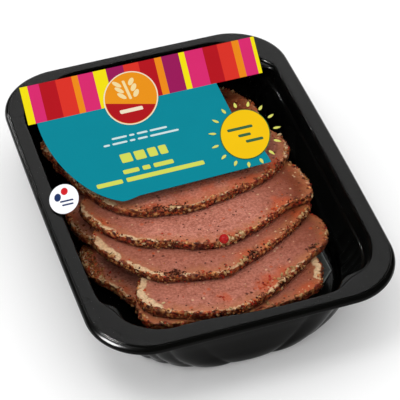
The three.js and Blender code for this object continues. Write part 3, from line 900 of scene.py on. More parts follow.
def tray_ring(row, flute_depth, t):
    """One level of the tray as points at shares t of the way round, with its flutes, its
    lugs with their ribs and the wider parts of its flange."""
    z, half_x, half_y, corner_x, corner_y, lug, flute = row
    points = bowed_rectangle(half_x, half_y, corner_x, corner_y, t)
    from_middle = np.sin(8 * math.pi * t)
    fanned = t - FLUTE_FAN * z / (1 + z / 10) / BASE_ROUND * from_middle
    phase = FLUTES * (fanned - FLUTE_WIDENING * np.sin(8 * math.pi * fanned) / (8 * math.pi))
    scallop = 1 - np.abs(np.cos(math.pi * phase)) ** FLUTE_SHARPNESS
    straight = np.maximum(np.abs(points[:, 0]) / half_x, np.abs(points[:, 1]) / half_y)
    fade = np.clip((straight - FLUTE_FADE_FROM) / FLUTE_FADE_RUN, 0, 1)
    inward = flute * flute_depth * scallop * fade * fade * (3 - 2 * fade)
    along = t * 2 * (half_x + half_y) * 2
    rib = LUG_RIB_DEPTH * np.abs(np.sin(math.pi * along / LUG_RIB_PITCH))
    ribbed = z < RIM_HEIGHT - LUG_RIB_STOP
    for lug_x, lug_y in LUGS:
        near = nearness(points, lug_x, lug_y, LUG_REACH)
        inward += lug * near * (LUG_DEPTH - (rib if ribbed else 0))
    if z > RIM_HEIGHT - LEDGE_DROP and half_x < OPEN_X + LEDGE_OUT:
        for ledge_x, ledge_y, reach, width in LEDGES:
            inward += width * nearness(points, ledge_x, ledge_y, reach)
    directions = points / np.linalg.norm(points, axis=1, keepdims=True)
    points = points - directions * inward[:, None]
    return np.column_stack([points, np.full(len(t), z)])


def tray_plastic(look):
    """Satin black sheet with a fine orange-peel grain and faint scuffs."""
    material, tree, shader = new_material("tray_plastic")
    scuff = use(tree, mottle_group(), Size=0.018, Detail=5.0, Contrast=1.6, Seed=3.0)
    colour = blend(tree, scuff, darker(look.plastic, 0.8), look.plastic)
    rough = node(
        tree, "ShaderNodeMapRange",
        {
            "Value": use(tree, mottle_group(), Size=0.006, Detail=4.0, Contrast=1.8, Seed=9.0),
            "To Min": look.roughness - 0.05, "To Max": look.roughness + 0.07,
        },
    )
    normal = use(tree, relief_group(), Size=0.0016, Height=0.000006, Detail=2.0)
    feed(
        tree, shader, colour=colour, roughness=rough.outputs["Result"], normal=normal,
        ior=1.5, specular=0.055,
    )
    return material


class MEATPACK_OT_tray(bpy.types.Operator):
    """Builds the black moulded tray with its flange, lip, flutes and stacking lugs"""

    bl_idname = "meatpack.tray"
    bl_label = "Tray"

    def execute(self, context):
        look = context.scene.meatpack_tray
        count = FLUTES * POINTS_PER_FLUTE
        t = np.arange(count) / count
        rings = [tray_ring(row, look.flute_depth / MM, t) for row in tray_rows()]
        points, faces = closed_loft(rings, (0, 0, FLOOR_TOP), (0, 0, BASE_RISE))
        tray = mesh_object("moulded_tray", points, faces, [tray_plastic(look)])
        place(tray, "tray_plastic", "tray")
        return {"FINISHED"}


# Absorbent pad


def pad_cloth(look):
    """Dark, faintly speckled pad with an embossed dot pattern and a painted highlight along its
    edge.
    """
    material, tree, shader = new_material("pad_cloth")
    cloud = use(tree, mottle_group(), Size=0.012, Detail=3.0, Contrast=1.5, Seed=5.0)
    colour = blend(tree, cloud, darker(look.pad, 0.75), look.pad)
    # Painted highlight: a pale band along the pad's edge stands in for light catching its sealed
    # rim.
    colour = blend(tree, attribute(tree, "painted_edge_highlight"), colour, linear(196, 204, 200))
    dots = node(
        tree, "ShaderNodeTexVoronoi",
        {
            "Vector": node(tree, "ShaderNodeTexCoord").outputs["Object"],
            "Scale": 380.0, "Randomness": 0.0,
        },
    )
    normal = use(
        tree, relief_group(), Size=0.0008, Height=0.00004, Detail=2.0,
        Extra=between(tree, dots.outputs["Distance"], 0.25, 0.55),
    )
    feed(tree, shader, colour=colour, roughness=0.32, normal=normal, specular=0.8)
    return material


def pad_outline(left, front, right, back):
    """Points round the pad, with its cut corners."""
    deep_x, deep_y = PAD_DEEP_CUT
    corners = [
        (left + deep_x, front), (right - PAD_CUT, front), (right, front + PAD_CUT),
        (right, back - PAD_CUT), (right - PAD_CUT, back), (left + PAD_CUT, back),
        (left, back - PAD_CUT), (left, front + deep_y),
    ]
    starts = np.array(corners)
    ends = np.roll(starts, -1, axis=0)
    steps = np.arange(PAD_STEPS)[:, None]
    return np.vstack([a + (b - a) * steps / PAD_STEPS for a, b in zip(starts, ends)])


class MEATPACK_OT_pad(bpy.types.Operator):
    """Builds the absorbent pad that lies on the tray's floor, with its sealed edge"""

    bl_idname = "meatpack.pad"
    bl_label = "Absorbent pad"

    def execute(self, context):
        (left, front, bottom), (right, back, top) = in_mm(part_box("absorbent_pad"))
        right += PAD_RIGHT_OUT
        outline = pad_outline(left, front, right, back)
        middle = np.array([(left + right) / 2, (front + back) / 2])
        reach = np.linalg.norm(outline - middle, axis=1)
        seal = bottom + 0.35 * (top - bottom)
        levels = (
            (30, bottom), (0.2, bottom), (0, bottom + 0.1), (0, seal - 0.1), (0.2, seal),
            (0.7, seal), (3.4, seal), (4.4, 0.6 * top + 0.4 * seal), (6.5, top - 0.04), (12, top),
            (30, top),
        )
        rings = []
        for inset, z in levels:
            share = 1 - np.minimum(inset, reach * 0.9) / reach
            flat = middle + (outline - middle) * share[:, None]
            rings.append(np.column_stack([flat, np.full(len(flat), z)]))
        points, faces = closed_loft(rings, (*middle, bottom), (*middle, top))
        pad = mesh_object("soaker_pad", points, faces, [pad_cloth(context.scene.meatpack_tray)])
        insets = np.repeat([inset for inset, _ in levels], len(outline))
        # Painted highlight on the outermost strip of the pad's edge, for its material to read.
        edge = np.append(np.where(insets < EDGE_HIGHLIGHT_WIDTH, 1.0, 0.0), (0.0, 0.0))
        set_attribute(pad, "painted_edge_highlight", edge)
        place(pad, "pad", "absorbent_pad")
        return {"FINISHED"}


# Meat


def slice_top(y, layer):
    """Height of the top face of the slices in a layer."""
    sag = np.maximum(0, (y - DROOP_FROM) / DROOP_RUN) ** 2
    fan = FAN_TOP - (y - FAN_FRONT) * FAN_SLOPE - DROOP * sag
    return np.maximum(fan - layer * LAYER_PITCH, LOWEST_TOP)


def ripple(x, y):
    """Gentle waves that all slices share, so that they never meet."""
    return 0.45 * np.sin(x / 9.5 + 0.6 + y / 31) * np.sin(y / 13.0 + 1.1) + 0.2 * np.sin(x / 5.1)


class SliceForm:
    """Outline and surface of one slice of loin, in millimetres."""

    def __init__(self, entry, number, thickness):
        self.entry = entry
        self.number = number
        self.thickness = thickness
        dense, numbers = centripetal(entry["outline"], 40, closed=True)
        closed = np.vstack([dense, dense[:1]])
        self.outline = dense
        lengths = np.linalg.norm(np.diff(closed, axis=0), axis=1)
        self.arc = np.concatenate([[0], np.cumsum(lengths)])
        self.length = self.arc[-1]
        self.closed = closed
        self.numbers = np.append(numbers, len(entry["outline"]))
        self.middle = (dense.min(0) + dense.max(0)) / 2

    def rim(self, s):
        """Points of the rim at distances along it."""
        s = np.mod(s, self.length)
        return np.stack([np.interp(s, self.arc, self.closed[:, k]) for k in (0, 1)], 1)

    def number_at(self, s):
        """Outline point, with its share of the way to the next, at a distance."""
        return np.interp(np.mod(s, self.length), self.arc, self.numbers)

    def distance_to(self, number):
        """Distance along the rim of an outline point, given by its number."""
        return np.interp(number % len(self.entry["outline"]), self.numbers, self.arc)

    def surface(self, s, inset, drop):
        """Points of the slice at a distance along the rim, in from it and down its side."""
        rim = self.rim(s)
        towards = self.middle - rim
        reach = np.linalg.norm(towards, axis=1)
        inset = np.minimum(inset, reach * 0.97)
        flat = rim + towards / reach[:, None] * inset[:, None]
        z = slice_top(flat[:, 1], self.entry["layer"]) + ripple(flat[:, 0], flat[:, 1])
        spot = np.column_stack([flat, z - drop])
        # Noise of four sizes pushes the side in and out, and lifts the face, most near the rim.
        seed = 3 + self.number
        coarse = value_noise(spot, 3.1, seed)
        fine = value_noise(spot, 1.3, seed + 20)
        broad = value_noise(spot, 8.0, seed + 60)
        near_rim = np.exp(-inset / 2.2)
        on_side = np.clip(drop / 0.8, 0, 1) * np.clip((self.thickness - drop) / 0.8, 0, 1)
        push = on_side * (0.5 * coarse + 0.32 * fine + 0.5 * broad)
        spot[:, :2] -= towards / reach[:, None] * push[:, None]
        gentle = value_noise(spot, 4.5, seed + 40)
        lift = near_rim * (0.2 * coarse + 0.16 * fine) + 0.07 * gentle
        spot[:, 2] += np.where(drop < 1.0, lift, 0)
        return spot

    def covers(self, points, margin):
        """Whether points lie inside the outline, grown by a margin."""
        grown = self.outline - self.middle
        grown = self.middle + grown * (1 + margin / np.linalg.norm(grown, axis=1))[:, None]
        nxt = np.roll(grown, -1, axis=0)
        x, y = points[:, :1], points[:, 1:2]
        crosses = (grown[:, 1] > y) != (nxt[:, 1] > y)
        rise = np.where(nxt[:, 1] == grown[:, 1], 1e-9, nxt[:, 1] - grown[:, 1])
        at = grown[:, 0] + (y - grown[:, 1]) * (nxt[:, 0] - grown[:, 0]) / rise
        return (np.sum(crosses & (x < at), axis=1) % 2) == 1


def profile(thickness):
    """Rings of a slice from the middle of its face out, over the rim and back below:
    distance in from the rim and down from the face."""
    face = [34, 28, 23, 19, 15.5, 12.5, 10, 8, 6.5, 5.2, 4.2, 3.4, 2.7, 2.1, 1.6, 1.2]
    rows = [(inset, 0.0) for inset in face]
    for k in range(1, 7):
        a = k / 6 * math.pi / 2
        rows.append((ROUND_TOP * (1 - math.sin(a)), ROUND_TOP * (1 - math.cos(a))))
    side_end = thickness - ROUND_FOOT
    rows.extend((SIDE_INSET, drop) for drop in np.linspace(ROUND_TOP, side_end, 8)[1:-1])
    for k in range(5):
        a = k / 4 * math.pi / 2
        rows.append((ROUND_FOOT * (1 - math.cos(a)), side_end + ROUND_FOOT * math.sin(a)))
    rows.extend((inset, thickness) for inset in (3, 8, 20))
    return rows


def fat_reach(form, numbers, insets):
    """How far each vertex lies inside the rim's fat, in millimetres."""
    best = np.full(len(numbers), NO_FAT)
    count = len(form.entry["outline"])
    for first, last, width, strength in form.entry["fat"]:
        half = (last - first) / 2
        away = np.abs(np.mod(numbers - (first + half) + count / 2, count) - count / 2)
        taper = np.clip((half - away) / FAT_TAPER, 0, 1)
        reach = width * strength * taper * (2 - taper) - np.maximum(insets, 0)
        best = np.maximum(best, np.where(taper > 0, reach, NO_FAT))
    return best


def spot_field(form, points, insets, spots):
    """Strength of stains at each vertex of the face. Each spot has an outline point,
    distance in from the rim, radius and strength."""
    field = np.zeros(len(points))
    for number, inset, radius, strength in spots:
        s = np.array([form.distance_to(number)])
        x, y, _ = form.surface(s, np.array([max(float(inset), 0.0)]), np.array([0.0]))[0]
        field = np.maximum(field, strength * nearness(points, x, y, radius))
    return np.where(insets > -STAIN_DEPTH, field, 0)


def pepper_stains(form):
    """Spots of dark stain round the heavier patches of pepper on a slice."""
    return [
        (number, inset, 1.1 * reach, 1.0)
        for name, number, inset, reach, _, kind in CLUSTERS
        if name == form.entry["name"] and kind == "pepper"
    ]


class MeatMasks:
    """Masks that the lean, the fat and the crust share. The mesh gives how far each point
    is from the rim, which is below 0 down the side."""

    def __init__(self, tree):
        mottle = mottle_group()
        self.edge = attribute(tree, "edge")
        self.cloud = use(tree, mottle, Size=0.013, Detail=3.0, Contrast=2.4, Seed=1.0)
        self.streak = use(tree, mottle, Size=0.0034, Detail=4.0, Contrast=3.0, Seed=6.0)
        self.grain = use(tree, mottle, Size=0.0011, Detail=2.0, Contrast=5.5, Seed=2.0)
        self.lumps = use(tree, mottle, Size=0.0019, Detail=3.0, Contrast=4.0, Seed=12.0)


def lean_colour(tree, look, masks):
    """Mottled lean, browner and more tan towards the rim, where the spice has soaked in."""
    light = maths(tree, "MULTIPLY", masks.cloud, 0.3)
    light = plus(tree, light, masks.streak, 0.25)
    light = plus(tree, light, masks.grain, 0.45, clamp=True)
    lean = blend(tree, light, look.lean_dark, look.lean_light)
    soak = between(tree, plus(tree, masks.edge, masks.streak, 3.5), 10.0, 1.2)
    tone = plus(tree, attribute(tree, "tone"), masks.cloud, 0.2)
    tone = plus(tree, tone, soak, 0.24, clamp=True)
    lean = blend(tree, tone, lean, look.lean_brown)
    lean = stain(tree, lean, soak, 0.42, look.lean_tan)
    # Smears of oil, broken up by the streaks of the meat.
    oil = plus(tree, attribute(tree, "smear"), masks.streak, 0.6)
    oil = between(tree, plus(tree, oil, soak, 0.45), 0.4, 1.25)
    lean = stain(tree, lean, oil, 0.7, look.oil)
    # Dark stains round the heavier patches of pepper.
    dark = plus(tree, attribute(tree, "stain"), masks.lumps, 0.6)
    lean = stain(tree, lean, between(tree, dark, 0.7, 1.3), 0.85, linear(76, 22, 14))
    # Specks of spice pressed into the face, closer together near the rim.
    share = plus(tree, 0.12, soak, 0.34)
    for spacing, spot, strength, seed, colour in (
        (0.0020, 0.42, 0.8, 4.0, look.crust),
        (0.0024, 0.46, 0.65, 5.0, look.oil),
        (0.0017, 0.40, 0.5, 8.0, look.fat),
    ):
        specks = use(tree, speckle_group(), Spacing=spacing, Spot=spot, Share=share, Seed=seed)
        lean = stain(tree, lean, specks, strength, colour)
    return lean


def fat_over(tree, look, masks, lean):
    """Lays the rim's fat, with an uneven inner edge, over the lean."""
    ragged = maths(tree, "SUBTRACT", masks.streak, 0.5)
    reach = plus(tree, attribute(tree, "fat_reach"), ragged, 1.6)
    fat = blend(tree, masks.grain, darker(look.fat, 0.7), look.fat)
    fat = stain(tree, fat, masks.cloud, 0.35, linear(206, 150, 96))
    return stain(tree, lean, between(tree, reach, -0.3, 0.9), 0.92, fat)


def crust_colour(tree, look, masks):
    """Mottled colour of the spiced rim, tan to dark brown, with painted shade that darkens its
    foot.
    """
    ramps = []
    for dark, brown, usual, pale in (
        (look.crust, linear(116, 52, 22), linear(164, 98, 46), linear(214, 164, 102)),
        (linear(70, 18, 10), linear(140, 44, 20), linear(184, 78, 36), linear(214, 124, 66)),
    ):
        ramp = node(tree, "ShaderNodeValToRGB", {"Fac": masks.lumps})
        elements = ramp.color_ramp.elements
        elements[0].color = opaque(dark)
        elements[1].color = opaque(pale)
        elements.new(0.38).color = opaque(brown)
        elements.new(0.68).color = opaque(usual)
        ramps.append(ramp.outputs["Color"])
    hue = use(tree, mottle_group(), Size=0.0042, Detail=3.0, Contrast=4.5, Seed=14.0)
    colour = blend(tree, hue, *ramps)
    red = use(tree, speckle_group(), Spacing=0.0019, Spot=0.42, Share=0.3, Seed=16.0)
    colour = stain(tree, colour, red, 0.8, linear(184, 44, 24))
    pale = use(tree, speckle_group(), Spacing=0.0017, Spot=0.4, Share=0.26, Seed=17.0)
    colour = stain(tree, colour, pale, 0.75, linear(214, 182, 130))
    dark = use(tree, mottle_group(), Size=0.009, Detail=3.0, Contrast=4.0, Seed=18.0)
    colour = stain(tree, colour, between(tree, dark, 0.35, 0.9), 0.62, linear(78, 20, 8))
    # Painted shade: the lower part of the rim's side is darkened to near black, standing in for
    # the shadow under the slice.
    return stain(tree, colour, between(tree, masks.edge, -1.8, -4.2), 0.7, linear(52, 13, 6))


def loin_meat(look):
    """Raw loin: lean with a rim of fat and a browned, spiced crust."""
    material, tree, shader = new_material("loin_meat")
    masks = MeatMasks(tree)
    surface = fat_over(tree, look, masks, lean_colour(tree, look, masks))
    # Crust on the rim's side and a ragged strip of it on the face.
    strip = plus(tree, masks.edge, masks.lumps, -1.3)
    strip = plus(tree, strip, maths(tree, "SUBTRACT", masks.streak, 0.45), -3.6)
    crust = between(tree, strip, 0.35, -0.45)
    surface = blend(tree, crust, surface, crust_colour(tree, look, masks))
    rough = plus(tree, 0.34, masks.streak, 0.16)
    rough = plus(tree, rough, crust, 0.16)
    normal = use(
        tree, relief_group(), Size=0.0012, Height=0.00026, Detail=4.0,
        Extra=maths(tree, "MULTIPLY", crust, masks.lumps),
    )
    feed(
        tree, shader, colour=surface, roughness=rough, normal=normal, ior=1.4,
        coat=0.12, coat_roughness=0.2,
    )
    return material


def end_browning(x, reach):
    """How much of an end's browning there is at places across the pack, from 0 to 1."""
    first, last = reach
    return np.clip((x - first) / (last - first), 0, 1)


def build_slice(form, material):
    """Mesh of one slice with the numbers that its material reads."""
    s = np.arange(RIM_STEPS) / RIM_STEPS * form.length
    rows = profile(form.thickness)
    rings = [form.surface(s, np.full(RIM_STEPS, a), np.full(RIM_STEPS, b)) for a, b in rows]
    top = (*form.middle, rings[0][:, 2].mean())
    bottom = (*form.middle, rings[-1][:, 2].mean())
    points, faces = closed_loft(rings, top, bottom)
    edges = [inset if drop < FACE_DEPTH else -drop for inset, drop in rows]
    edge = np.append(np.repeat(edges, RIM_STEPS), (edges[0], -form.thickness))
    numbers = np.append(np.tile(form.number_at(s), len(rows)), (0, 0))
    piece = mesh_object("loin_" + form.entry["name"], points, faces, [material])
    set_attribute(piece, "edge", edge)
    set_attribute(piece, "fat_reach", fat_reach(form, numbers, edge))
    set_attribute(piece, "smear", spot_field(form, points, edge, form.entry["smears"]))
    set_attribute(piece, "stain", spot_field(form, points, edge, pepper_stains(form)))
    left, right = form.entry["ends"]
    x = points[:, 0]
    tone = form.entry["tone"] + left * end_browning(x, LEFT_END)
    set_attribute(piece, "tone", tone + right * end_browning(x, RIGHT_END))
    return piece


def slice_forms(context):
    """The form of every slice, by name."""
    thickness = context.scene.meatpack_meat.thickness / MM
    return {
        entry["name"]: SliceForm(entry, number, thickness)
        for number, entry in enumerate(SLICES)
    }


class MEATPACK_OT_slices(bpy.types.Operator):
    """Builds the eight fanned slices of loin"""

    bl_idname = "meatpack.slices"
    bl_label = "Slices of loin"

    def execute(self, context):
        material = loin_meat(context.scene.meatpack_meat)
        for name, form in slice_forms(context).items():
            place(build_slice(form, material), "meat", name)
        return {"FINISHED"}


# Spice


def lumpy_ball(subdivisions, unevenness, random):
    """Unit ball with its points pushed in and out, as points and faces."""
    ball = bmesh.new()
    bmesh.ops.create_icosphere(ball, subdivisions=subdivisions, radius=1.0)
    points = np.array([v.co for v in ball.verts])
    faces = np.array([[v.index for v in f.verts] for f in ball.faces])
    ball.free()
    return points * (1 + unevenness * random.uniform(-1, 1, (len(points), 1))), faces


def thin_flake(random):
    """Flat, curled, ragged flake about two units long."""
    count = 7
    a = np.arange(count) / count * 2 * math.pi
    reach = random.uniform(0.6, 1.1, count)
    rim = np.stack([reach * np.cos(a), 0.75 * reach * np.sin(a)], 1)
    curl = 0.35 * rim[:, 0] ** 2 + random.uniform(-0.12, 0.12, count)
    top = np.column_stack([rim, curl + 0.1])
    low = np.column_stack([rim * 0.96, curl - 0.1])
    points = np.vstack([top, low, [(0, 0, 0.14)], [(0, 0, -0.06)]])
    faces = []
    for j in range(count):
        n = (j + 1) % count
        faces.extend([(2 * count, j, n), (2 * count + 1, count + n, count + j)])
        faces.extend([(j, count + j, count + n), (j, count + n, n)])
    return points, np.array(faces)


def sliver(random):
    """Thin bent strip of leaf, as a closed solid."""
    steps = 5
    thick = 0.1
    rows = []
    bend = random.uniform(-0.5, 0.5)
    for k in range(steps):
        x = 2 * k / (steps - 1) - 1
        half = 0.28 * (1 - 0.75 * abs(x) ** 2)
        y = bend * x * x
        z = 0.25 * random.uniform(-1, 1) * x
        left, right, top = y - half, y + half, z + thick
        rows.append([(x, left, z), (x, right, z), (x, right, top), (x, left, top)])
    points = np.array(rows).reshape(-1, 3)
    faces = []
    for k in range(steps - 1):
        a = 4 * k
        for j in range(4):
            n = (j + 1) % 4
            faces.extend([(a + j, a + n, a + 4 + n), (a + j, a + 4 + n, a + 4 + j)])
    faces.extend([(0, 2, 1), (0, 3, 2)])
    e = 4 * (steps - 1)
    faces.extend([(e, e + 1, e + 2), (e, e + 2, e + 3)])
    return points, np.array(faces)


# Each kind of spice: its share of the grains, least and greatest radius as shares of the
# pepper size, how the three axes differ, whether it lies flat, how many fine grains of it
# lie on each face, how matt it is, and its dark, usual and pale colours.
SPICES = {
    "pepper": {
        "share": 0.28, "size": (0.32, 0.72), "axes": (1.0, 0.85, 0.72), "flat": False,
        "on_face": 34, "roughness": 0.55,
        "colours": (linear(42, 14, 6), linear(86, 34, 15), linear(122, 62, 30)),
    },
    "crumb": {
        "share": 0.34, "size": (0.34, 0.86), "axes": (1.0, 0.9, 0.75), "flat": False,
        "on_face": 44, "roughness": 0.6,
        "colours": (linear(98, 36, 13), linear(164, 90, 42), linear(212, 154, 92)),
    },
    "flake": {
        "share": 0.26, "size": (0.42, 0.95), "axes": (1.0, 1.0, 1.0), "flat": True,
        "on_face": 40, "roughness": 0.42,
        "colours": (linear(118, 14, 8), linear(186, 46, 20), linear(216, 104, 44)),
    },
    "seed": {
        "share": 0.04, "size": (0.7, 1.1), "axes": (1.35, 0.8, 0.65), "flat": True,
        "on_face": 0, "roughness": 0.45,
        "colours": (linear(140, 94, 52), linear(188, 148, 98), linear(220, 190, 144)),
    },
    "herb": {
        "share": 0.09, "size": (0.6, 1.3), "axes": (1.0, 0.8, 0.9), "flat": True,
        "on_face": 24, "roughness": 0.6,
        "colours": (linear(66, 54, 24), linear(108, 86, 42), linear(150, 120, 66)),
    },
}

# Grains along a rim: how many are tried for each one asked for, the share of them on its
# side, and how far in from the rim the others lie, usually and at most.
TRIES = 1.6
SIDE_SHARE = 0.74
USUAL_INSET = 1.3
MOST_INSET = 9

# How far a grain's middle stands out, as a share of its size, and where grains are left
# out: within this margin of the slice on top, down to this depth, within this margin of a
# slice of the same layer, and this near to the film.
GRAIN_RISE = 0.28
COVER_MARGIN = 1.2
COVERED_DEPTH = 1.4
SIDE_MARGIN = 0.5
FILM_MARGIN = 0.4


def spice_shapes(kind, random):
    """Several unit shapes of a kind."""
    if kind == "flake":
        return [thin_flake(random) for _ in range(8)]
    if kind == "herb":
        return [sliver(random) for _ in range(6)]
    if kind == "seed":
        return [lumpy_ball(2, 0.04, random) for _ in range(4)]
    return [lumpy_ball(1, 0.24, random) for _ in range(10)]


def facing(normals, random, flat):
    """Rotation for each grain: its third axis near the surface's normal if it lies flat,
    and any way round if it doesn't."""
    count = len(normals)
    tilt = 0.45 if flat else 3.0
    third = normals + tilt * random.normal(size=(count, 3))
    third /= np.linalg.norm(third, axis=1, keepdims=True)
    first = np.cross(random.normal(size=(count, 3)), third)
    first /= np.linalg.norm(first, axis=1, keepdims=True)
    return np.stack([first, np.cross(third, first), third], axis=2)


class Scatter:
    """Places for the grains of each kind, with the surface's normal, a size and how far
    down the rim's side each lies, from 0 to 1."""

    def __init__(self):
        self.places = {kind: [] for kind in SPICES}

    def add(self, kind, *values):
        """Keeps some grains' points, normals, sizes and depths."""
        self.places[kind].append(values)

    def gathered(self, kind):
        """Points, normals, sizes and depths of all the grains of a kind."""
        return tuple(np.concatenate(part) for part in zip(*self.places[kind]))


def inside_tray(points, margin):
    """Whether points keep a margin to the tray's inner wall and to the film."""
    x, y, z = np.abs(points[:, 0]), np.abs(points[:, 1]), points[:, 2]
    levels = (FLOOR_TOP, 7, 20, 31, RIM_HEIGHT)
    half_x = np.interp(z, levels, (55.7, 58.8, 60.5, 62.3, OPEN_X)) - margin
    half_y = np.interp(z, levels, (81, 84.5, 86, 87.4, OPEN_Y)) - margin
    corner_x = np.interp(z, levels, (49, 46, 35, 31, OPEN_CORNER))
    corner_y = np.interp(z, levels, (46, 50, 40, 33, OPEN_CORNER))
    over_x = np.maximum(x - (half_x - corner_x), 0) / corner_x
    over_y = np.maximum(y - (half_y - corner_y), 0) / corner_y
    return (over_x ** 2 + over_y ** 2 < 1) & (z < RIM_HEIGHT - FILM_MARGIN)


def spread(forms, form, s, inset, drop, sizes, scatter, kind):
    """Adds the grains that are clear of the slices on top, the wall and the film."""
    points = form.surface(s, inset, drop)
    rim = form.rim(s)
    outward = rim - form.middle
    outward /= np.linalg.norm(outward, axis=1, keepdims=True)
    side = np.clip(drop / ROUND_TOP, 0, 1)
    normals = np.column_stack([outward * side[:, None], 1 - side])
    normals /= np.linalg.norm(normals, axis=1, keepdims=True)
    points = points + normals * (GRAIN_RISE * sizes)[:, None]
    kept = inside_tray(points, 0.5 * sizes)
    layer = form.entry["layer"]
    for other in forms.values():
        above = layer - other.entry["layer"]
        if other is not form and 0 < above <= 1:
            kept &= ~(other.covers(points, COVER_MARGIN) & (drop < COVERED_DEPTH))
        if other is not form and above == 0:
            kept &= ~other.covers(points, SIDE_MARGIN)
    scatter.add(kind, points[kept], normals[kept], sizes[kept], (drop / form.thickness)[kept])


def scatter_rims(forms, look, scatter, random):
    """Spice along every rim, thicker in some places, down its side and in on the face."""
    size = look.pepper_size / MM
    for form in forms.values():
        amount = int(look.density * form.entry["spice"] * form.length)
        for kind, spice in SPICES.items():
            count = int(amount * spice["share"] * TRIES)
            s = random.uniform(0, form.length, count)
            rim = form.rim(s)
            thick = 0.5 + 1.3 * value_noise(
                np.column_stack([rim, np.zeros(count)]), 7.0, 50 + form.number
            )
            s = s[random.uniform(0, 1, count) < thick]
            count = len(s)
            on_side = random.uniform(0, 1, count) < SIDE_SHARE
            drop = np.where(on_side, random.uniform(0.3, form.thickness - 0.5, count), 0)
            inward = np.minimum(random.exponential(USUAL_INSET, count), MOST_INSET)
            inset = np.where(on_side, SIDE_INSET, inward)
            low, high = spice["size"]
            sizes = size * random.uniform(low, high, count) * random.uniform(0.7, 1, count)
            spread(forms, form, s, inset, drop, sizes, scatter, kind)


def scatter_faces(forms, look, scatter, random):
    """A few fine grains on the faces."""
    size = look.pepper_size / MM
    for form in forms.values():
        for kind, spice in SPICES.items():
            count = spice["on_face"]
            s = random.uniform(0, form.length, count)
            inset = random.uniform(2, 26, count)
            sizes = size * random.uniform(0.2, 0.48, count)
            spread(forms, form, s, inset, np.zeros(count), sizes, scatter, kind)


def scatter_clusters(forms, look, scatter, random):
    """The heavier patches of spice, each of one kind."""
    size = look.pepper_size / MM
    for name, number, inset, reach, count, kind in CLUSTERS:
        form = forms[name]
        s = form.distance_to(number) + random.normal(0, reach, count)
        inward = inset + random.normal(0, 0.45 * reach, count)
        drop = np.clip(-inward, 0, form.thickness - 0.6)
        low, high = SPICES[kind]["size"]
        sizes = size * random.uniform(low, high, count)
        inset = np.maximum(inward, SIDE_INSET)
        spread(forms, form, s, inset, drop, sizes, scatter, kind)


def spice_material(kind):
    """Grains whose colour changes from one to the next, with a fine grain of its own."""
    material, tree, shader = new_material("spice_" + kind)
    dark, usual, pale = SPICES[kind]["colours"]
    # The tint holds each grain's own colour and, low on the rim's side, painted shade.
    tint = node(tree, "ShaderNodeValToRGB", {"Fac": attribute(tree, "tint")})
    tint.color_ramp.elements[0].color = opaque(dark)
    tint.color_ramp.elements[1].color = opaque(pale)
    tint.color_ramp.elements.new(0.5).color = opaque(usual)
    fleck = use(tree, mottle_group(), Size=0.0007, Detail=2.0, Contrast=2.5, Seed=15.0)
    colour = stain(tree, tint.outputs["Color"], fleck, 0.4, dark)
    normal = use(tree, relief_group(), Size=0.0005, Height=0.00009, Detail=2.0)
    feed(
        tree, shader, colour=colour, roughness=SPICES[kind]["roughness"], normal=normal,
        specular=0.3,
    )
    return material


def build_spice(kind, scatter, random):
    """One mesh of all the grains of a kind."""
    points, normals, sizes, depths = scatter.gathered(kind)
    shapes = spice_shapes(kind, random)
    turns = facing(normals, random, SPICES[kind]["flat"])
    axes = np.array(SPICES[kind]["axes"]) * random.uniform(0.8, 1.2, (len(points), 3))
    choice = random.integers(0, len(shapes), len(points))
    # Grains differ from dark to pale, and are painted darker low on the side, as shade there.
    tints = np.clip(random.normal(0.58, 0.28, len(points)) - 0.4 * depths ** 2, 0, 1)
    all_points, all_faces, all_tints, start = [], [], [], 0
    for k, (shape, faces) in enumerate(shapes):
        chosen = np.nonzero(choice == k)[0]
        scaled = shape[None] * (axes[chosen] * sizes[chosen, None])[:, None]
        placed = np.einsum("nij,npj->npi", turns[chosen], scaled) + points[chosen, None]
        all_points.append(placed.reshape(-1, 3))
        offsets = start + np.arange(len(chosen)) * len(shape)
        all_faces.append((faces[None] + offsets[:, None, None]).reshape(-1, 3))
        all_tints.append(np.repeat(tints[chosen], len(shape)))
        start += len(chosen) * len(shape)
    piece = mesh_object(
        "spice_" + kind, np.vstack(all_points), np.vstack(all_faces).tolist(),
        [spice_material(kind)], smooth=kind in ("seed", "crumb"),
    )
    set_attribute(piece, "tint", np.concatenate(all_tints))
    return piece


def peppercorn_skin():
    """Wrinkled, glossy rose-red skin."""
    material, tree, shader = new_material("peppercorn_skin")
    cloud = use(tree, mottle_group(), Size=0.0014, Detail=3.0, Contrast=2.0, Seed=21.0)
    colour = blend(tree, cloud, linear(150, 16, 18), linear(206, 34, 34))
    normal = use(tree, relief_group(), Size=0.0008, Height=0.00012, Detail=2.0)
    feed(
        tree, shader, colour=colour, roughness=0.24, normal=normal, coat=0.5,
        coat_roughness=0.1,
    )
    return material


def build_peppercorn(random):
    """Round peppercorn with a dimple and faint wrinkles, on the edge of its slice."""
    ball, faces = lumpy_ball(4, 0.0, random)
    dimple = np.exp(-((1 - ball @ np.array([0.3, -0.5, 0.81])) / 0.04) ** 2)
    wrinkle = 1 - 0.16 * dimple + 0.03 * value_noise(ball, 0.35, 5)
    x, y = PEPPERCORN["x"], PEPPERCORN["y"]
    z = slice_top(y, PEPPERCORN["layer"]) + ripple(x, y) + PEPPERCORN["rise"]
    points = ball * wrinkle[:, None] * PEPPERCORN["radius"] + np.array([x, y, z])
    return mesh_object("pink_peppercorn", points, faces.tolist(), [peppercorn_skin()])


class MEATPACK_OT_spice(bpy.types.Operator):
    """Spreads pepper, crumbs, flakes, seeds and herbs over the rims, and the peppercorn"""

    bl_idname = "meatpack.spice"
    bl_label = "Spice"

    def execute(self, context):
        look = context.scene.meatpack_spice
        random = np.random.default_rng(look.seed)
        forms = slice_forms(context)
        scatter = Scatter()
        scatter_rims(forms, look, scatter, random)
        scatter_faces(forms, look, scatter, random)
        scatter_clusters(forms, look, scatter, random)
        for kind in SPICES:
            place(build_spice(kind, scatter, random), "meat")
        place(build_peppercorn(random), "meat")
        return {"FINISHED"}


# Film


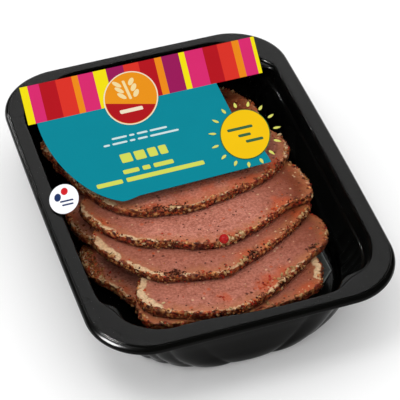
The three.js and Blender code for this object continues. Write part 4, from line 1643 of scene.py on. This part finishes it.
def clear_film(look):
    """Thin clear film that hardly veils what is under it."""
    material, tree, shader = new_material("clear_film")
    pull = use(tree, mottle_group(), Size=0.03, Detail=2.0, Contrast=1.5, Seed=31.0)
    alpha = node(
        tree, "ShaderNodeMapRange",
        {"Value": pull, "To Min": 0.6 * look.film_alpha, "To Max": look.film_alpha},
    )
    normal = use(tree, relief_group(), Size=0.02, Height=0.0002, Detail=1.0)
    feed(
        tree, shader, colour=linear(24, 24, 24), roughness=0.12,
        alpha=alpha.outputs["Result"], normal=normal, ior=1.5,
    )
    return material


class MEATPACK_OT_film(bpy.types.Operator):
    """Builds the clear lid film that is sealed to the flange"""

    bl_idname = "meatpack.film"
    bl_label = "Lid film"

    def execute(self, context):
        (_, _, bottom), (half_x, half_y, top) = in_mm(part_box("lid_film"))
        count = 192
        t = np.arange(count) / count
        rings = []
        for z, inset in ((bottom, 8), (bottom, 0), (top, 0), (top, 8)):
            corner = RIM_CORNER - 0.5 * inset
            flat = bowed_rectangle(half_x - inset, half_y - inset, corner, corner, t)
            rings.append(np.column_stack([flat, np.full(count, z)]))
        points, faces = closed_loft(rings, (0, 0, bottom), (0, 0, top))
        look = context.scene.meatpack_print
        film = mesh_object("clear_lid_film", points, faces, [clear_film(look)], smooth=False)
        place(film, "clear_film", "lid_film")
        return {"FINISHED"}


# Print


def ink(name, colour):
    """Printed ink: an even colour with a faint cloud and a satin face."""
    material, tree, shader = new_material("ink_" + name)
    cloud = use(tree, mottle_group(), Size=0.009, Detail=4.0, Contrast=1.2, Seed=40.0)
    shade = blend(tree, cloud, darker(colour, 0.94), colour)
    normal = use(tree, relief_group(), Size=0.0016, Height=0.00001, Detail=1.0)
    feed(tree, shader, colour=shade, roughness=0.5, normal=normal, specular=0.04)
    return material


INKS = {
    "yellow": linear(230, 212, 8), "pink": linear(206, 38, 104),
    "crimson": linear(172, 14, 26), "red": linear(208, 46, 34),
    "orange": linear(224, 130, 18), "plum": linear(146, 20, 84),
}


def prism(outline, low, high):
    """Points and faces of a flat sheet with an outline that runs anticlockwise."""
    count = len(outline)
    flat = np.asarray(outline, float)
    points = np.vstack([
        np.column_stack([flat, np.full(count, low)]),
        np.column_stack([flat, np.full(count, high)]),
    ])
    faces = [tuple(reversed(range(count))), tuple(range(count, 2 * count))]
    for j in range(count):
        n = (j + 1) % count
        faces.append((j, n, count + n, count + j))
    return points, faces


def printed_piece(name, parts, inks, slot, *nodes):
    """One piece of flat sheets, each given by its outline, its two heights and its ink."""
    order = list(inks)
    points, faces, numbers, start = [], [], [], 0
    for outline, low, high, key in parts:
        sheet_points, sheet_faces = prism(outline, low, high)
        points.append(sheet_points)
        faces.extend(tuple(start + k for k in face) for face in sheet_faces)
        numbers.extend([order.index(key)] * len(sheet_faces))
        start += len(sheet_points)
    materials = [ink(key, colour) for key, colour in inks.items()]
    piece = mesh_object(name, np.vstack(points), faces, materials, numbers, smooth=False)
    place(piece, slot, *nodes)


def leaned(x, y, u, v):
    """Points at a place, given along and up the lean of the badge's and emblem's ovals."""
    c, s = math.cos(OVAL_LEAN), math.sin(OVAL_LEAN)
    return np.column_stack([x + c * u - s * v, y + s * u + c * v])


def oval(x, y, half_width, half_height, steps=72, first=0.0, last=1.0):
    """Points of a leaning oval, or of the part of it between two shares of a turn."""
    a = 2 * math.pi * np.linspace(first, last, steps, endpoint=last < 1)
    return leaned(x, y, half_width * np.cos(a), half_height * np.sin(a))


def bar(x0, x1, y, height):
    """Outline of a bar with rounded corners."""
    radius = min(0.5 * height, 0.4 * (x1 - x0), BAR_ROUND)
    left, right = x0 + radius, x1 - radius
    top, bottom = y + height / 2 - radius, y - height / 2 + radius
    middles = ((right, top), (left, top), (left, bottom), (right, bottom))
    points = []
    for quarter, middle in enumerate(middles):
        turn = (quarter + np.linspace(0, 1, 6)) * math.pi / 2
        points.append(middle + radius * np.column_stack([np.cos(turn), np.sin(turn)]))
    return np.vstack(points)


def bezier(start, control_1, control_2, end, steps):
    """Points along a cubic curve, without its end."""
    t = np.linspace(0, 1, steps, endpoint=False)[:, None]
    start, control_1, control_2, end = map(np.array, (start, control_1, control_2, end))
    return (
        (1 - t) ** 3 * start + 3 * (1 - t) ** 2 * t * control_1
        + 3 * (1 - t) * t ** 2 * control_2 + t ** 3 * end
    )


def label_panel(low, high):
    """Outline of the panel below the striped band, anticlockwise from its top left."""
    left, right = low[0] + PANEL_LEFT, high[0] - PANEL_RIGHT
    top, bottom = high[1] - BAND_HEIGHT, low[1] + PANEL_FRONT
    corner = (high[0] - PANEL_CORNER, bottom + 1.6)
    tip, foot = (TIP_LEFT, bottom - 1), (TIP_RIGHT, bottom)
    bend = (right, PANEL_BEND)
    curve = bezier((left, top), (left - 2, 33.3), (-52.4, 3.7), tip, 24)
    nose = bezier(tip, (-34, bottom - 1.6), (-32, bottom - 1.3), foot, 8)
    edge = bezier(corner, (corner[0] + 0.4, 11.6), (right - 1.2, 23.5), bend, 12)
    return np.vstack([curve, nose, [foot], edge, [bend, (right, top)]])


class MEATPACK_OT_label(bpy.types.Operator):
    """Builds the printed label: the striped band, the panel and its rows of plain bars"""

    bl_idname = "meatpack.label"
    bl_label = "Printed label"

    def execute(self, context):
        look = context.scene.meatpack_print
        low, high = in_mm(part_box("printed_label"))
        parts = self.stripes(low, high)
        parts.append((label_panel(low, high), low[2], high[2] - 0.01, "panel"))
        inks = {**INKS, "panel": look.panel}
        printed_piece("label_sheet", parts, inks, "label_print", "printed_label")
        bars = [
            (bar(x0, x1, y, height), high[2] + 0.01, high[2] + 0.05, key)
            for key, y, height, places in BAR_LINES
            for x0, x1 in places
        ]
        inks = {"white": linear(196, 214, 214), "lime": look.bars}
        printed_piece("print_bars", bars, inks, "label_print")
        return {"FINISHED"}

    @staticmethod
    def stripes(low, high):
        """The band's stripes, side by side, narrower or wider as its ends lean."""
        front, back = high[1] - BAND_HEIGHT, high[1]
        left, right = low[0] + BAND_LEFT, high[0]
        foot_left, foot_right = left - BAND_LEFT, right - BAND_RIGHT
        shares = np.cumsum([0.0, *(width for _, width in STRIPES)])
        shares /= shares[-1]
        parts = []
        for (key, _), *ends in zip(STRIPES, shares, shares[1:]):
            top = [left + (right - left) * share for share in ends]
            foot = [foot_left + (foot_right - foot_left) * share for share in ends]
            outline = [(foot[0], front), (foot[1], front), (top[1], back), (top[0], back)]
            parts.append((outline, low[2], high[2], key))
        return parts


def ray(x, y, angle):
    """Small drop-shaped ray outside the badge's oval, pointing away from its middle."""
    across = np.array([0.0, 0.55, 0.8, 0.5, 0.0, -0.5, -0.8, -0.55])
    outward = np.array([0.0, 0.5, 1.6, 3.0, 3.9, 3.0, 1.6, 0.5])
    start = np.array([RAY_START[0] * math.cos(angle), RAY_START[1] * math.sin(angle)])
    along = start / np.linalg.norm(start)
    flat = start + outward[:, None] * along - across[:, None] * np.array([-along[1], along[0]])
    return leaned(x, y, flat[:, 0], flat[:, 1])


def leaning_leaf(x, y, side):
    """Leaf that leans up and away from the sprig's stem on its side."""
    turn = np.linspace(0, 2 * math.pi, 28, endpoint=False)
    u = LEAF[0] * np.cos(turn)
    v = LEAF[1] * np.sin(turn)
    lean = math.radians(LEAF_LEAN)
    flat_x = side * (math.cos(lean) * u - math.sin(lean) * v)
    flat_y = math.sin(lean) * u + math.cos(lean) * v
    points = np.column_stack([x + flat_x, y + flat_y])
    return points if side > 0 else points[::-1]


class MEATPACK_OT_badges(bpy.types.Operator):
    """Builds the sun badge, the oval emblem and the small sticker"""

    bl_idname = "meatpack.badges"
    bl_label = "Badge, emblem and sticker"

    def execute(self, context):
        self.badge(context.scene.meatpack_print)
        self.emblem()
        self.sticker()
        return {"FINISHED"}

    @staticmethod
    def middle(node_name):
        """Middle of a node's box, and the height of its underside."""
        low, high = in_mm(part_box(node_name))
        return (low + high) / 2, low[2]

    def badge(self, look):
        """Leaning sun with plain bars on it and short rays round it."""
        (x, y, _), z = self.middle("oval_badge")
        low, edge, face, top = z - 0.2, z - 0.12, z - 0.08, z - 0.05
        parts = [
            (oval(x, y, *BADGE_EDGE), low, edge, "badge_edge"),
            (oval(x, y, *BADGE_FACE), edge, face, "badge"),
        ]
        for x0, x1, rise in ((-7.4, 5.2, 4.4), (-3.6, 2.6, -0.6), (-1.4, 7.2, -5.2)):
            parts.append((bar(x + x0, x + x1, y + rise, 1.9), face, top, "badge_bar"))
        for number in range(RAYS):
            outline = ray(x, y, 2 * math.pi * (number + 0.5) / RAYS)
            parts.append((outline, low, edge, "badge_ray"))
        inks = {
            "badge": look.badge, "badge_edge": linear(64, 104, 54),
            "badge_bar": linear(56, 98, 64), "badge_ray": linear(204, 204, 100),
        }
        printed_piece("sun_badge", parts, inks, "badge_print", "oval_badge")

    def emblem(self):
        """Leaning oval with a sprig of six leaves and a sash across its foot."""
        (x, y, _), z = self.middle("oval_emblem")
        low, edge, face = z - 0.2, z - 0.15, z - 0.13
        sash, leaf, top = z - 0.11, z - 0.1, z - 0.08
        parts = [
            (oval(x, y, *EMBLEM_EDGE), low, edge, "emblem_rim"),
            (oval(x, y, *EMBLEM_FACE), edge, face, "emblem"),
            (oval(x, y, *EMBLEM_SASH, 40, 0.54, 0.96), face, sash, "emblem_sash"),
            (bar(x - 0.9, x + 0.5, y + 6.0, 14.0), face, leaf, "emblem_leaf"),
            (bar(x - 8.0, x + 3.4, y - 8.6, 2.6), sash, top, "emblem_rim"),
        ]
        for side in (-1, 1):
            for k in range(3):
                outline = leaning_leaf(x - 0.2 + side * 3.6, y + 2.4 + 4.4 * k, side)
                parts.append((outline, face, leaf, "emblem_leaf"))
        inks = {
            "emblem": linear(222, 138, 18), "emblem_rim": linear(226, 212, 186),
            "emblem_leaf": linear(228, 206, 150), "emblem_sash": linear(168, 16, 24),
        }
        printed_piece("leaf_emblem", parts, inks, "emblem_print", "oval_emblem")

    def sticker(self):
        """White oval with two dots and two plain bars."""
        (x, y, _), z = self.middle("small_sticker")
        face, top = z + 0.2, z + 0.2 + 0.03
        parts = [
            (oval(x, y, *STICKER_FACE), z, face, "sticker"),
            (oval(x - 2.6, y + 1.6, 1.5, 2.6, 28), face, top, "sticker_navy"),
            (oval(x + 1.4, y + 4.6, 1.6, 2.4, 28), face, top, "sticker_red"),
            (bar(x - 2.4, x + 4.0, y - 1.6, 1.0), face, top, "sticker_navy"),
            (bar(x - 2.0, x + 3.4, y - 4.0, 1.0), face, top, "sticker_navy"),
        ]
        inks = {
            "sticker": linear(244, 244, 248), "sticker_navy": linear(34, 52, 96),
            "sticker_red": linear(200, 30, 38),
        }
        printed_piece("paper_sticker", parts, inks, "sticker_paper", "small_sticker")


# Stage


def soft_light(name, where, width, height, power):
    """Area light at a place, with its width and height, all in metres, facing the pack."""
    data = bpy.data.lights.new(name, "AREA")
    data.shape = "RECTANGLE"
    data.size = width
    data.size_y = height
    data.energy = power
    lamp = bpy.data.objects.new(name, data)
    lamp.location = where
    direction = Vector((0, 0, RIM_HEIGHT * MM)) - Vector(where)
    lamp.rotation_euler = direction.to_track_quat("-Z", "Y").to_euler()
    bpy.context.scene.collection.objects.link(lamp)
    return lamp


class MEATPACK_OT_stage(bpy.types.Operator):
    """Sets up the camera, the pale floor and the soft light"""

    bl_idname = "meatpack.stage"
    bl_label = "Studio"

    def execute(self, context):
        look = context.scene.meatpack_studio
        scene = context.scene
        scene.view_settings.view_transform = "Standard"
        self.camera(scene, look)
        self.floor(look)
        world = scene.world or bpy.data.worlds.new("studio")
        scene.world = world
        world.use_nodes = True
        background = world.node_tree.nodes["Background"]
        background.inputs["Color"].default_value = (1, 1, 1, 1)
        background.inputs["Strength"].default_value = look.world
        # The room's even light is left out of reflections, so that black plastic stays black.
        world.cycles_visibility.glossy = False
        soft_light("key", (-0.28, -0.06, 0.93), 0.3, 0.3, look.key)
        # The other lights only show as reflections in the tray.
        tray_only = bpy.data.collections.new("tray_only")
        tray_only.objects.link(bpy.data.objects["moulded_tray"])
        for lamp in (
            soft_light("sheen", (0.22, 0.67, 0.74), 0.8, 0.8, look.sheen),
            soft_light("back_edge", (-0.6, 0.74, 0.24), 0.14, 0.05, look.accent),
            soft_light(
                "corner_edge", (-0.65, -0.14, 0.55), 0.34, 0.42, CORNER_STRENGTH * look.accent
            ),
        ):
            lamp.visible_diffuse = False
            lamp.light_linking.receiver_collection = tray_only
        return {"FINISHED"}

    @staticmethod
    def camera(scene, look):
        """Camera that looks at the middle of the flange, moved a little in its own plane."""
        az, el = look.azimuth, look.elevation
        back = Vector((math.sin(az) * math.cos(el), -math.cos(az) * math.cos(el), math.sin(el)))
        side = Vector((0, 0, 1)).cross(back).normalized()
        up = back.cross(side)
        c, s = math.cos(look.roll), math.sin(look.roll)
        side, up = c * side + s * up, c * up - s * side
        where = back * look.distance + CAMERA_ACROSS * MM * side + CAMERA_UP * MM * up
        where.z += RIM_HEIGHT * MM
        data = bpy.data.cameras.new("camera")
        data.lens = look.lens
        data.sensor_width = 36.0
        data.clip_start, data.clip_end = 0.05, 20.0
        camera = bpy.data.objects.new("camera", data)
        axes = Matrix((side, up, back)).transposed().to_4x4()
        camera.matrix_world = Matrix.Translation(where) @ axes
        scene.collection.objects.link(camera)
        scene.camera = camera

    @staticmethod
    def floor(look):
        """Wide pale floor under the pack."""
        material, tree, shader = new_material("studio_floor")
        cloud = use(tree, mottle_group(), Size=0.4, Detail=2.0, Contrast=1.0, Seed=60.0)
        shade = blend(tree, cloud, darker(look.floor, 0.99), look.floor)
        feed(tree, shader, colour=shade, roughness=0.8, specular=0.1)
        half = FLOOR_HALF
        corners = [(-half, -half, 0), (half, -half, 0), (half, half, 0), (-half, half, 0)]
        floor = mesh_object("studio_floor", corners, [(0, 1, 2, 3)], [material], smooth=False)


class MEATPACK_PT_panel(bpy.types.Panel):
    """Sidebar panel with the pack's settings and its building steps"""

    bl_idname = "MEATPACK_PT_panel"
    bl_label = "Tray pack of sliced pork loin"
    bl_space_type = "VIEW_3D"
    bl_region_type = "UI"
    bl_category = "Meat pack"

    def draw(self, context):
        layout = self.layout
        for prefix, group in SETTINGS.items():
            box = layout.box()
            settings = getattr(context.scene, prefix)
            for name in group.__annotations__:
                box.prop(settings, name)
        for operator in BUILD_ORDER:
            layout.operator(operator.bl_idname)


SETTINGS = {
    "meatpack_tray": TrayLook, "meatpack_meat": MeatLook, "meatpack_spice": SpiceLook,
    "meatpack_print": PrintLook, "meatpack_studio": StudioLook,
}
BUILD_ORDER = (
    MEATPACK_OT_tray, MEATPACK_OT_pad, MEATPACK_OT_slices, MEATPACK_OT_spice,
    MEATPACK_OT_film, MEATPACK_OT_label, MEATPACK_OT_badges, MEATPACK_OT_stage,
)


def register():
    """Registers the settings, the operators and the panel."""
    for group in (*SETTINGS.values(), *BUILD_ORDER, MEATPACK_PT_panel):
        bpy.utils.register_class(group)
    for name, group in SETTINGS.items():
        setattr(bpy.types.Scene, name, PointerProperty(type=group))


def unregister():
    """Takes all that register added away again."""
    for name in SETTINGS:
        delattr(bpy.types.Scene, name)
    for group in reversed((*SETTINGS.values(), *BUILD_ORDER, MEATPACK_PT_panel)):
        bpy.utils.unregister_class(group)


def main():
    """Builds the pack and its stage."""
    register()
    for operator in BUILD_ORDER:
        family, action = operator.bl_idname.split(".")
        getattr(getattr(bpy.ops, family), action)()


if __name__ == "__main__":
    main()
